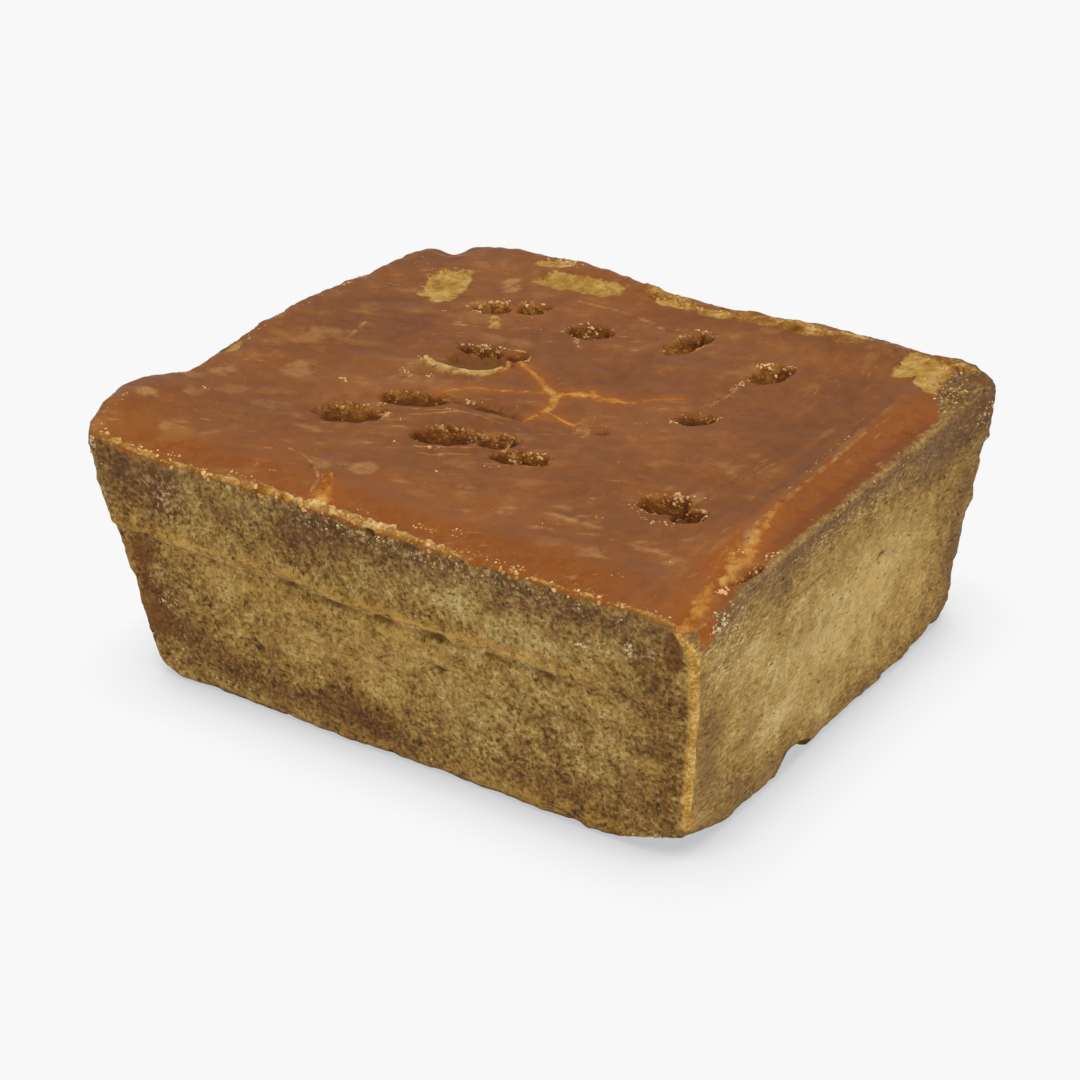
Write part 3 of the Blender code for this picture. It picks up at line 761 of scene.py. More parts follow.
def addGrain(piece):
    # coarse grain of the sides and of the pits, as real relief
    height = coordinates(piece)[:, 2]
    fromRim, farWall = readMark(piece, "fromRim"), readMark(piece, "farWall")
    sideShare = (1 - smooth(fromRim, -1.5, 0.2)) * smooth(height, 0.3, 2)
    sideShare = sideShare * (1 - 0.5 * readMark(piece, "right"))
    pitShare = smooth(readMark(piece, "pit"), -0.05, 0.2) * (fromRim > 1)
    pitShare = pitShare * (0.1 + 0.9 * smooth(farWall, 0.4, 0.8)) * (1 - readMark(piece, "grey"))
    for name, share in (("sides", sideShare), ("hollows", pitShare)):
        group = piece.vertex_groups.new(name=name)
        for level in range(1, 11):
            chosen = np.flatnonzero(np.round(share * 10) == level)
            group.add(chosen.tolist(), level / 10, "REPLACE")
    for name, group, size, depth in block["grain"]:
        texture = bpy.data.textures.new(name, "CLOUDS")
        texture.noise_scale = size
        texture.noise_depth = 1
        texture.contrast = 1.4
        push = piece.modifiers.new(name, "DISPLACE")
        push.texture = texture
        push.texture_coords = "LOCAL"
        push.vertex_group = group
        push.strength = depth
        bpy.ops.object.modifier_apply(modifier=name)


jaggery = makeBlank()
refineBlank(jaggery)
print("blank cut:", len(jaggery.data.vertices), "points")
shapeBlock(jaggery)
addGrain(jaggery)
jaggery.name = jaggery.data.name = "jaggeryBlock"
jaggery.data.shade_smooth()
print("block shaped")


# loose and half-set grains: twenty faces each, sunk into the surface

crumbs = {
    "sink": 0.28,  # how deep a grain sits, as a share of its size
    "topDepth": 5,  # what lies deeper than this under the rim isn't on top
    "dropHeight": 80,
    "throwFrom": 100,
    # heaps: x, y, half length, half width, turn, number, largest size, tone
    "heaps": (
        (-36, 36, 2.5, 1, 30, 25, 1.4, 0.8), (-38.6, 31, 1.6, 0.7, 110, 14, 1.24, 0.8),
        (-30, 38.9, 2.5, 0.9, 20, 19, 1.24, 0.7), (-28, 31.4, 1.5, 0.7, 20, 6, 0.93, 0.5),
        (-14.6, 37.6, 2, 1.1, 20, 21, 1.24, 0.75), (-8.2, 35.6, 0.8, 1.4, 0, 11, 1.24, 0.65),
        (-13, 29.4, 1.8, 0.7, -50, 12, 1.08, 0.75), (-10.4, 27, 1.3, 0.4, -60, 6, 0.78, 0.8),
        (-17, 33, 0.8, 1.8, 0, 11, 1.08, 0.5), (7.5, 47.8, 2.2, 0.6, 0, 11, 1.08, 0.85),
        (5, 43.5, 0.7, 0.8, 0, 6, 1.12, 0.95), (11, 40, 0.4, 3.4, 0, 10, 0.78, 0.75),
        (4.4, 36.5, 0.8, 1.8, 0, 9, 1.08, 0.5), (27.3, 38.8, 2, 0.9, 30, 26, 1.1, 0.95),
        (26.8, 30, 0.9, 2.2, 0, 17, 1.24, 0.65), (31.6, 40.2, 1.4, 0.8, 30, 9, 1.08, 0.7),
        (26.3, 20, 0.5, 3.4, 10, 11, 0.62, 0.8), (-27, 16.4, 2.2, 0.9, 15, 24, 1.24, 0.85),
        (-23.4, 17.9, 2.4, 0.7, 12, 16, 1.08, 0.8), (-31, 15.2, 1.2, 0.7, 20, 6, 0.78, 0.7),
        (-32.5, 3.6, 2.6, 1.1, -30, 20, 1.1, 0.85), (-33, -3, 2.8, 1.6, -40, 18, 1, 0.85),
        (-27.3, -2.2, 1.2, 0.7, -40, 10, 1, 0.95), (-13.2, -7, 1.9, 0.9, 0, 15, 1.24, 0.85),
        (-18.8, -8.2, 1.7, 0.9, 0, 9, 0.93, 0.55), (-28, -17, 1.3, 0.8, -40, 6, 0.78, 0.8),
        (-16, -13, 1.6, 0.5, 20, 6, 0.62, 0.8), (-24.2, -21.6, 1, 1.6, 0, 15, 1.08, 0.75),
        (-29, -18.8, 3, 1.1, 20, 24, 1.24, 0.6), (-34.4, -22, 2, 1.1, 60, 15, 1.08, 0.5),
        (-20.5, -21.5, 1.4, 1.1, -30, 7, 0.78, 0.8), (-3, -18, 3.4, 1.7, 20, 40, 1.24, 0.55),
        (-12, -19.3, 2, 0.8, 30, 16, 1.24, 0.75), (1.6, -16.4, 1.6, 1.4, 20, 17, 1.24, 0.6),
        (-9, -28.3, 2, 0.6, 25, 10, 0.93, 0.85), (-15.5, -29.8, 1.6, 0.4, -20, 6, 0.78, 0.8),
        (9.4, -19.6, 3.2, 0.5, 12, 22, 1.05, 0.9), (13.6, -20.6, 0.5, 1.6, 0, 7, 0.8, 0.7),
        (5, -21.4, 2.5, 0.9, 20, 20, 1.24, 0.6), (6, -28.4, 1.2, 0.4, 20, 7, 0.62, 0.85),
        (39, -26, 0.8, 2.6, 0, 24, 1.24, 0.7), (42, -19.4, 3, 1, 20, 24, 1.4, 0.75),
        (44, -30, 3.6, 0.7, 10, 16, 1.08, 0.8), (48.6, -22.4, 1.1, 1.5, 60, 14, 1.24, 0.7),
        (36, -27, 0.8, 2, 0, 6, 0.62, 0.7), (24.6, 8, 1.3, 0.8, 30, 12, 1.08, 0.8),
        (30.7, 13.6, 1.4, 0.7, 30, 11, 1.08, 0.7), (19.5, 4.5, 1.9, 0.6, 40, 9, 0.78, 0.75),
        (14, -1, 0.8, 0.4, 0, 5, 0.5, 0.7), (28.4, 8.2, 2, 0.5, 30, 6, 0.62, 0.6),
        (33, -34.5, 0.8, 0.4, 0, 4, 0.62, 0.95), (26.5, -42, 1.5, 2.4, 0, 10, 0.62, 0.75),
        (56.6, 14, 0.4, 6, 0, 16, 0.78, 0.7), (57.6, -6, 0.4, 7, 0, 10, 0.62, 0.7),
        (66, -45.6, 0.9, 1.8, 0, 27, 1.4, 1), (66, -35, 0.7, 4, 0, 19, 0.93, 0.5),
        (62.2, -33, 1, 4, -10, 15, 0.93, 0.75), (25, -57.6, 9, 0.9, 0, 37, 0.93, 0.6),
        (45, -57.8, 9, 0.8, 0, 21, 0.78, 0.55), (15.4, -53.5, 0.8, 1.8, 0, 9, 0.93, 0.8),
        (9, -55.2, 4, 0.7, 0, 14, 0.93, 0.75), (-4, -55.8, 4, 0.6, 0, 11, 0.78, 0.7),
        (-33, -57.2, 7, 1.4, 0, 32, 0.93, 0.65), (-26.5, -53, 1, 0.7, -30, 7, 0.62, 0.85),
        (-31.5, -53, 1, 0.6, -30, 7, 0.62, 0.8), (-48.5, -57.4, 2.6, 0.8, 0, 10, 1.08, 0.9),
        (-17.5, -50.5, 0.8, 1.6, 40, 6, 0.62, 0.8), (48, -51.5, 0.8, 1.6, 40, 6, 0.78, 0.7),
        (53.5, -42, 0.6, 1.4, 0, 6, 0.62, 0.8), (41, -46, 0.8, 0.5, 0, 5, 0.5, 0.7),
        (-4, 56.6, 7, 1.1, 0, 31, 1.24, 0.75), (6, 57, 6, 0.9, 0, 25, 1.24, 0.7),
        (-35, 59.6, 5, 1.6, 0, 33, 1.4, 0.6), (-12, 59, 7, 1.1, 0, 20, 1.24, 0.6),
        (24, 59.4, 6, 0.9, 0, 15, 1.08, 0.65), (44, 59.6, 8, 0.8, 0, 16, 1.08, 0.6),
        (60, 56, 3, 2, -50, 19, 1.24, 0.7), (-62, 44, 3, 5, 30, 12, 1.08, 0.6),
        (-68, 20, 0.8, 14, 0, 25, 1.24, 0.6), (-68.6, -10, 0.8, 12, 0, 25, 1.24, 0.65),
        (-67, -50, 1.2, 6, 0, 19, 1.08, 0.7), (-60, -34, 1, 0.5, 0, 5, 1.12, 0.95),
        (-41.4, -13, 0.9, 0.5, -30, 6, 1.12, 1), (-2, -35.7, 0.2, 0.2, 0, 1, 1.62, 1),
        (-9, -58, 2.2, 0.7, 0, 10, 2.1, 0.75), (2.6, -58.4, 1.6, 0.6, 0, 9, 2.1, 0.85),
        (-3.5, -58.3, 1.8, 0.5, 0, 7, 1.6, 0.65), (-20, -58, 3, 0.6, 0, 10, 1.6, 0.6),
        (-26, -58.4, 3, 0.4, 0, 7, 1.3, 0.6), (9, -58.6, 3, 0.4, 0, 8, 1.4, 0.7),
        (67.4, -8, 1.3, 34, 0, 100, 0.8, 0.5), (66.6, -31, 0.9, 4, 0, 18, 1.2, 0.7),
        (65, 46, 2, 5, 20, 40, 1.1, 0.7), (62, 49, 4, 5, 0, 70, 1.3, 0.6),
        (-34, 58.5, 4, 1.2, 15, 26, 1.3, 0.7), (-38, 29.6, 3.2, 0.4, 10, 10, 0.8, 0.9),
        (-40.4, 32, 0.5, 1.4, -20, 6, 0.9, 0.85), (-44, 26, 0.5, 1.2, 20, 5, 0.75, 0.9),
        (-38.4, 23.4, 1.4, 1.6, 0, 6, 0.78, 0.75),
    ),
    # on the sides: side, place along it, height, half length, half height, number, largest size, tone
    "sideHeaps": (
        ("front", -66, 50.5, 1, 3, 26, 0.9, 0.8), ("front", -64.6, 31, 0.9, 2.4, 22, 0.9, 0.8),
        ("front", -52.6, 17.5, 2, 1.5, 12, 0.8, 0.9), ("front", -48, 43, 2.4, 3, 20, 0.5, 0.85),
        ("front", -56, 22, 3.5, 2.5, 20, 0.5, 0.7), ("front", -60, 12, 1.5, 6, 20, 0.7, 0.6),
        ("front", 46, 41, 1.2, 1.1, 16, 0.8, 1), ("front", 56, 43.5, 1.2, 1.1, 14, 0.8, 1),
        ("front", 2.3, 50, 0.5, 1.1, 10, 0.6, 0.85), ("front", 60, 3.6, 5, 1.6, 26, 1, 0.6),
        ("front", -40, 3.4, 12, 1, 24, 0.8, 0.6), ("front", 20, 2.2, 30, 0.9, 34, 0.8, 0.55),
        ("front", 5, 48.5, 20, 2.2, 60, 0.45, 0.9), ("front", 35, 48.5, 20, 2, 50, 0.45, 0.85),
        ("front", -12, 45, 8, 4, 24, 0.4, 0.8), ("front", 10, 35.5, 6, 1, 10, 0.5, 0.8),
        ("right", -46, 43, 5, 6, 80, 0.6, 0.95), ("right", -52, 49, 2.5, 1.8, 26, 0.9, 0.9),
        ("right", 57.5, 34.5, 1.2, 1.2, 12, 0.8, 0.9), ("right", 0, 47.5, 35, 2, 90, 0.5, 0.7),
        ("right", 54, 47.5, 4, 3.5, 40, 0.8, 0.7), ("right", -32, 33, 9, 5, 30, 0.45, 0.9),
        ("right", -20, 3, 30, 0.9, 24, 0.7, 0.5), ("left", 0, 48, 40, 2.4, 70, 0.5, 0.8),
        ("left", 30, 31, 14, 1.5, 24, 0.7, 0.8), ("back", 0, 48, 50, 2.4, 80, 0.5, 0.8),
        ("back", -30, 36, 16, 1.5, 24, 0.7, 0.8), ("left", 0, 3, 34, 1, 24, 0.8, 0.6),
        ("back", 0, 3, 40, 1, 26, 0.8, 0.6),
    ),
    "spread": 0.55,  # how far a heap spreads, as a share of its half length
    "lowest": 0.8,  # no grain of the sides lies lower
    # loose specks all over the top, and grains in the pits and along the rim: number, largest size
    "scattered": (300, 0.42),
    "inPits": (700, 1.0),
    "onRim": (230, 1.1),
    "pitReach": (0.45, 1.12),  # from a pit's middle, as a share of its half length and width
    "pitAngle": (88, 44),  # middle and spread: 90 is the far wall
    "shallow": 1.1,  # shallower pits hold no grains
    "rimEnds": (-65, 66),
    "looseTones": (0.3, 0.9),
}


def grainShapes(count, seed):
    # a few lumpy grains, each from its own small ball
    shapes = []
    for number in range(count):
        bpy.ops.object.select_all(action="DESELECT")
        bpy.ops.mesh.primitive_ico_sphere_add(subdivisions=1, radius=0.5)
        ball = bpy.context.object
        editAll("VERT")
        bpy.ops.transform.vertex_random(offset=0.16, seed=seed + number)
        bpy.ops.object.mode_set(mode="OBJECT")
        faces = [tuple(face.vertices) for face in ball.data.polygons]
        shapes.append((coordinates(ball), faces))
        bpy.data.objects.remove(ball, do_unlink=True)
    return shapes


def plantGrains(name, spots, seed):
    # spots: place, size and tone of each grain
    rng = random.Random(seed)
    shapes = grainShapes(5, seed)
    points, faces, tones = [], [], []
    start = 0
    for place, size, tone in spots:
        shape, shapeFaces = shapes[rng.randrange(len(shapes))]
        turn = Vector((rng.uniform(-1, 1), rng.uniform(-1, 1), rng.uniform(-1, 1))).to_track_quat("Z", "Y")
        grain = shape * (rng.uniform(0.8, 1.35), rng.uniform(0.8, 1.2), rng.uniform(0.65, 1.0))
        onTop = place.z > block["height"] - crumbs["topDepth"]
        inward = Vector((0, 0, -1)) if onTop else Vector((-place.x, -place.y, 0)).normalized()
        grain = grain @ np.array(turn.to_matrix()).T * size + np.array(place + inward * crumbs["sink"] * size)
        points.append(grain)
        faces.extend(tuple(start + corner for corner in face) for face in shapeFaces)
        tones.extend([tone] * len(grain))
        start += len(grain)
    mesh = bpy.data.meshes.new(name)
    mesh.from_pydata(np.concatenate(points).tolist(), [], faces)
    store = mesh.attributes.new("grainTone", "FLOAT", "POINT")
    store.data.foreach_set("value", np.array(tones, dtype=np.float32))
    piece = bpy.data.objects.new(name, mesh)
    bpy.context.scene.collection.objects.link(piece)
    return piece


surface = BVHTree.FromObject(jaggery, bpy.context.evaluated_depsgraph_get())


def dropOnTop(x, y):
    # the point of the top under a falling crumb
    place = surface.ray_cast(Vector((x, y, crumbs["dropHeight"])), Vector((0, 0, -1)))[0]
    return place if place is not None and place.z > block["height"] - crumbs["topDepth"] else None


def dropBeside(cx, cy, turn, u, v):
    # the same for a crumb at u and v from a turned heap's middle
    c, s = math.cos(math.radians(turn)), math.sin(math.radians(turn))
    return dropOnTop(cx + u * c - v * s, cy + u * s + v * c)


def throwAtSide(side, along, height):
    # the point of a side that a level throw meets
    toX, toY = {"front": (0, 1), "back": (0, -1), "left": (1, 0), "right": (-1, 0)}[side]
    far = crumbs["throwFrom"]
    start = Vector((-far * toX if toX else along, -far * toY if toY else along, height))
    return surface.ray_cast(start, Vector((toX, toY, 0)))[0]


def grainSize(rng, largest):
    return largest * (0.3 + 0.7 * rng.random() ** 1.5)


def heapTone(rng, tone):
    return min(1, tone + rng.gauss(0, 0.15))


def pitSpots(rng):
    # amber grains all round the pits, more of them on the far walls
    number, largest = crumbs["inPits"]
    nearest, farthest = crumbs["pitReach"]
    rough = [pit for index, pit in enumerate(pits) if index != brightPit and pit[4] > crumbs["shallow"]]
    totalArea = sum(pit[2] * pit[3] for pit in rough)
    for px, py, length, width, depth, turn, gentle in rough:
        for grain in range(round(number * length * width / totalArea)):
            reach, angle = rng.uniform(nearest, farthest), math.radians(rng.gauss(*crumbs["pitAngle"]))
            u, v = reach * math.cos(angle) * length / 2, reach * math.sin(angle) * width / 2
            place = dropBeside(px, py, turn, u, v)
            if place is not None:
                yield place, grainSize(rng, largest), rng.uniform(0.0, 0.45) + 0.7 * (reach - nearest)


def rimSpots(rng):
    # a broken row of grains on the front lip
    number, largest = crumbs["onRim"]
    planted = 0
    while planted < number:
        x = rng.uniform(*crumbs["rimEnds"])
        thick = 0.35 + 0.9 * noise.noise(Vector((x / 4, 3, 0))) + (0.25 if x < 20 else 0)
        place = dropOnTop(x, -block["width"] / 2 + rng.gauss(0.5, 0.5))
        if rng.random() < thick and place is not None:
            planted += 1
            yield place, grainSize(rng, largest), rng.uniform(*crumbs["looseTones"])


def topSpots(rng):
    spread = crumbs["spread"]
    for hx, hy, halfLength, halfWidth, turn, number, largest, tone in crumbs["heaps"]:
        for crumb in range(number):
            u, v = rng.gauss(0, spread) * halfLength, rng.gauss(0, spread) * halfWidth
            place = dropBeside(hx, hy, turn, u, v)
            if place is not None:
                yield place, grainSize(rng, largest), heapTone(rng, tone)
    number, largest = crumbs["scattered"]
    for crumb in range(number):
        place = dropOnTop(rng.uniform(-68, 62), rng.uniform(-57, 58))
        if place is not None:
            yield place, grainSize(rng, largest), rng.uniform(*crumbs["looseTones"])


def sideSpots(rng):
    spread = crumbs["spread"]
    for side, along, height, halfLength, halfHeight, number, largest, tone in crumbs["sideHeaps"]:
        for crumb in range(number):
            u, v = rng.gauss(along, spread * halfLength), rng.gauss(height, spread * halfHeight)
            place = throwAtSide(side, u, max(crumbs["lowest"], v))
            if place is not None:
                yield place, grainSize(rng, largest), heapTone(rng, tone)


# for each piece: the maker of its spots, the seed of their places, the seed of the grains' shapes
loosePieces = [
    plantGrains(name, list(makeSpots(random.Random(placeSeed))), shapeSeed)
    for name, makeSpots, placeSeed, shapeSeed in (
        ("pitGrains", pitSpots, 11, 3), ("rimGrains", rimSpots, 5, 20),
        ("topCrumbs", topSpots, 8, 40), ("sideCrumbs", sideSpots, 14, 60),
    )
]
print("grains planted:", [len(piece.data.polygons) for piece in loosePieces])


# from the drawing to the frame

def placeOnFrame(pieces):
    millimetre = (cadHigh.x - cadLow.x) / block["boxLength"]
    points = coordinates(jaggery)
    middle = (points.min(axis=0) + points.max(axis=0)) / 2
    away = np.array([(cadLow.x + cadHigh.x) / 2, (cadLow.y + cadHigh.y) / 2, cadLow.z])
    away[:2] -= middle[:2] * millimetre
    for piece in pieces:
        piece.data.vertices.foreach_set("co", (coordinates(piece) * millimetre + away).ravel())
        piece.data.update()
    print("placed on the frame, drawing's zero at", away.round(5).tolist())
    return millimetre, away


millimetre, away = placeOnFrame([jaggery] + loosePieces)


# materials

def colour(red, green, blue):
    # a colour as a paint chart gives it, 0 to 255, made linear for the shader
    linear = [
        value / 12.92 if value <= 0.04045 else ((value + 0.055) / 1.055) ** 2.4
        for value in (red / 255, green / 255, blue / 255)
    ]
    return (*linear, 1)


def addNode(tree, kind, label="", **values):
    node = tree.nodes.new(kind)
    node.label = label
    for name, value in values.items():
        setattr(node, name, value)
    return node


def treeOf(*values):
    # the node tree that the first socket among the values belongs to
    return next(value.id_data for value in values if isinstance(value, bpy.types.NodeSocket))


def connect(source, target):
    target.id_data.links.new(source, target)


def setOrLink(socket, value):
    if isinstance(value, bpy.types.NodeSocket):
        connect(value, socket)
    else:
        socket.default_value = value


def calc(operation, *values, clamp=False):
    node = addNode(treeOf(*values), "ShaderNodeMath", operation=operation, use_clamp=clamp)
    for socket, value in zip(node.inputs, values):
        setOrLink(socket, value)
    return node.outputs[0]


def times(first, second, clamp=False):
    return calc("MULTIPLY", first, second, clamp=clamp)


def timesPlus(value, share, start, clamp=False):
    return calc("MULTIPLY_ADD", value, share, start, clamp=clamp)


def ramp(factor, stops, label=""):
    node = addNode(treeOf(factor), "ShaderNodeValToRGB", label)
    while len(node.color_ramp.elements) < len(stops):
        node.color_ramp.elements.new(0.5)
    for element, (place, value) in zip(node.color_ramp.elements, stops):
        element.position = place
        element.color = value
    connect(factor, node.inputs[0])
    return node.outputs[0]


def blend(factor, first, second, label="", share=1.0):
    if share != 1.0:
        factor = times(factor, share)
    node = addNode(treeOf(factor), "ShaderNodeMix", label, data_type="RGBA")
    for number, value in ((0, factor), (6, first), (7, second)):
        setOrLink(node.inputs[number], value)
    return node.outputs[2]


def layered(base, layers):
    # lays colours of looks over a base: mask, the colour's name, the node's label, strength
    for mask, tint, label, share in layers:
        base = blend(mask, base, looks[tint], label, share)
    return base


def step(value, low, high):
    # 0 below low and 1 above high, smoothly between
    node = addNode(treeOf(value), "ShaderNodeMapRange", interpolation_type="SMOOTHSTEP", clamp=True)
    for socket, setting in zip(node.inputs, (value, low, high)):
        setOrLink(socket, setting)
    return node.outputs[0]


def below(value, low, high):
    # 1 below low and 0 above high, smoothly between
    return step(times(value, -1), -high, -low)


def raggedStep(value, wander, ragged, low, high):
    # a step with a ragged border
    return step(timesPlus(ragged, wander, value), low, high)


def noiseNode(where, scale, detail=2, roughness=0.55, label=""):
    node = addNode(treeOf(where), "ShaderNodeTexNoise", label)
    for name, value in (("Vector", where), ("Scale", scale), ("Detail", detail), ("Roughness", roughness)):
        setOrLink(node.inputs[name], value)
    return node.outputs[0]


def centred(value):
    return calc("SUBTRACT", value, 0.5)


def mark(tree, name):
    return addNode(tree, "ShaderNodeAttribute", name, attribute_name=name).outputs["Fac"]


def stretched(where, turn, stretch):
    # space drawn out along its axes, once they are turned
    node = addNode(treeOf(where), "ShaderNodeMapping", vector_type="TEXTURE")
    for name, value in (("Vector", where), ("Rotation", (0, 0, math.radians(turn))), ("Scale", stretch)):
        setOrLink(node.inputs[name], value)
    return node.outputs[0]


def bumpNode(height, strength, distance, label, under=None):
    node = addNode(treeOf(height), "ShaderNodeBump", label)
    for name, value in (("Strength", strength), ("Distance", distance), ("Height", height)):
        setOrLink(node.inputs[name], value)
    if under is not None:
        connect(under, node.inputs["Normal"])
    return node.outputs[0]


def addPatterns(level, *shares):
    # lays patterns over a level, each with its own strength
    for pattern, share in shares:
        level = timesPlus(centred(pattern), share, level)
    return level


def newMaterial(name):
    material = bpy.data.materials.new(name)
    material.use_nodes = True
    tree = material.node_tree
    where = addNode(tree, "ShaderNodeTexCoord").outputs["Object"]
    return material, tree, tree.nodes["Principled BSDF"], where


def speckleNode(tree, where, label, perMetre):
    fine = addNode(tree, "ShaderNodeGroup", label, node_tree=sugarGrain)
    fine.inputs[1].default_value = perMetre
    connect(where, fine.inputs[0])
    return fine.outputs[0], fine.outputs[1]


def sugarGrainGroup():
    # speckle of set sugar: Speckle runs from dark gaps to pale grains, Pores marks pin holes
    group = bpy.data.node_groups.new("sugarGrain", "ShaderNodeTree")
    for name, way, kind in (("Vector", "INPUT", "Vector"), ("Grains per metre", "INPUT", "Float"),
                            ("Speckle", "OUTPUT", "Float"), ("Pores", "OUTPUT", "Float")):
        group.interface.new_socket(name, in_out=way, socket_type="NodeSocket" + kind)
    entry, leave = addNode(group, "NodeGroupInput"), addNode(group, "NodeGroupOutput")
    soft = addNode(group, "ShaderNodeTexNoise", "soft grain")
    soft.inputs["Detail"].default_value = 3
    soft.inputs["Roughness"].default_value = 0.62
    cells = addNode(group, "ShaderNodeTexVoronoi", "grain by grain")
    holes = addNode(group, "ShaderNodeTexVoronoi", "pin holes")
    for node, share in ((soft, 1.0), (cells, 1.25), (holes, 0.35)):
        connect(entry.outputs[0], node.inputs["Vector"])
        connect(times(entry.outputs[1], share), node.inputs["Scale"])
    tint = addNode(group, "ShaderNodeSeparateColor")
    connect(cells.outputs["Color"], tint.inputs[0])
    noisy = timesPlus(soft.outputs[0], 2.2, -0.6)
    connect(timesPlus(tint.outputs[0], 0.25, times(noisy, 0.75)), leave.inputs[0])
    connect(below(holes.outputs["Distance"], 0.08, 0.16), leave.inputs[1])
    return group


sugarGrain = sugarGrainGroup()

looks = {
    # the sides, from dark gaps to pale grains
    "sides": (
        (0.0, colour(54, 32, 13)), (0.25, colour(98, 67, 31)), (0.45, colour(137, 103, 50)),
        (0.6, colour(160, 127, 64)), (0.78, colour(182, 152, 88)), (1.0, colour(208, 184, 126)),
    ),
    "brownSugar": colour(112, 70, 38), "yellowSugar": colour(188, 142, 62),
    "pinkSugar": colour(166, 112, 74), "greenSugar": colour(134, 116, 52),
    # the colour given at the foot is a painted contact shadow along the base
    "greySugar": colour(134, 104, 74), "duskSugar": colour(114, 88, 62),
    "chunk": colour(98, 60, 26), "paintedFootShadow": colour(56, 38, 24),
    "skin": colour(110, 62, 28), "crystal": colour(204, 182, 142), "pore": colour(58, 36, 17),
    # the hollow colour is the small side pits' brown together with painted shade inside them
    "hollow": colour(98, 64, 28), "amber": colour(160, 82, 20), "pourShade": colour(96, 62, 28),
    "gap": colour(84, 56, 24), "paleGrain": colour(190, 162, 104),
    # the pale threads' colour is also a painted highlight on the pour's crest, and the orange threads' colour
    # is also painted shade in the groove just above it
    "orangeThreadsAndGrooveShade": colour(140, 86, 24), "paleThreadsAndCrestHighlight": colour(204, 162, 88),
    "top": (
        (0.1, colour(112, 62, 22)), (0.4, colour(128, 73, 26)), (0.6, colour(138, 81, 31)),
        (0.9, colour(160, 101, 47)),
    ),
    "band": colour(146, 80, 14), "darkBand": colour(120, 60, 10),
    "darkAmber": colour(104, 52, 10), "smear": colour(174, 126, 70), "flakeShade": colour(140, 95, 38),
    "paleGold": colour(216, 182, 112), "glow": colour(160, 84, 16),
    "veins": (  # clear amber, gold, thin films of sugar, then pale yellow
        (0.0, colour(176, 102, 34)), (0.4, colour(204, 142, 60)), (0.6, colour(180, 128, 82)),
        (0.8, colour(184, 136, 90)), (0.9, colour(198, 160, 88)), (1.0, colour(206, 172, 100)),
    ),
    # pit colours run from the amber depth to golden crumbs, and also paint the pits' light: shade on the
    # floor and near side, light on the far wall
    "pit": (
        (0.0, colour(56, 24, 5)), (0.3, colour(86, 43, 9)), (0.55, colour(118, 66, 18)),
        (0.8, colour(158, 106, 42)), (1.0, colour(204, 162, 88)),
    ),
    "greyPit": colour(116, 76, 40),
    "crust": (
        (0.0, colour(104, 60, 18)), (0.3, colour(140, 92, 30)), (0.55, colour(172, 126, 56)),
        (0.75, colour(202, 164, 92)), (1.0, colour(230, 208, 148)),
    ),
    "flakes": ((0.1, colour(140, 95, 38)), (0.5, colour(180, 138, 62)), (0.95, colour(216, 182, 112))),
    "ridge": ((0.2, colour(160, 110, 42)), (0.55, colour(194, 150, 74)), (0.9, colour(222, 190, 116))),
    # how strong a vein of each paleness is
    "veinStrength": ((0.3, 0.7), (0.42, 0.95), (0.5, 0.6), (0.6, 0.6), (0.82, 0.55), (0.9, 1)),
    "topRoughness": 0.42, "sideRoughness": 0.9, "gloss": 0.15,
}


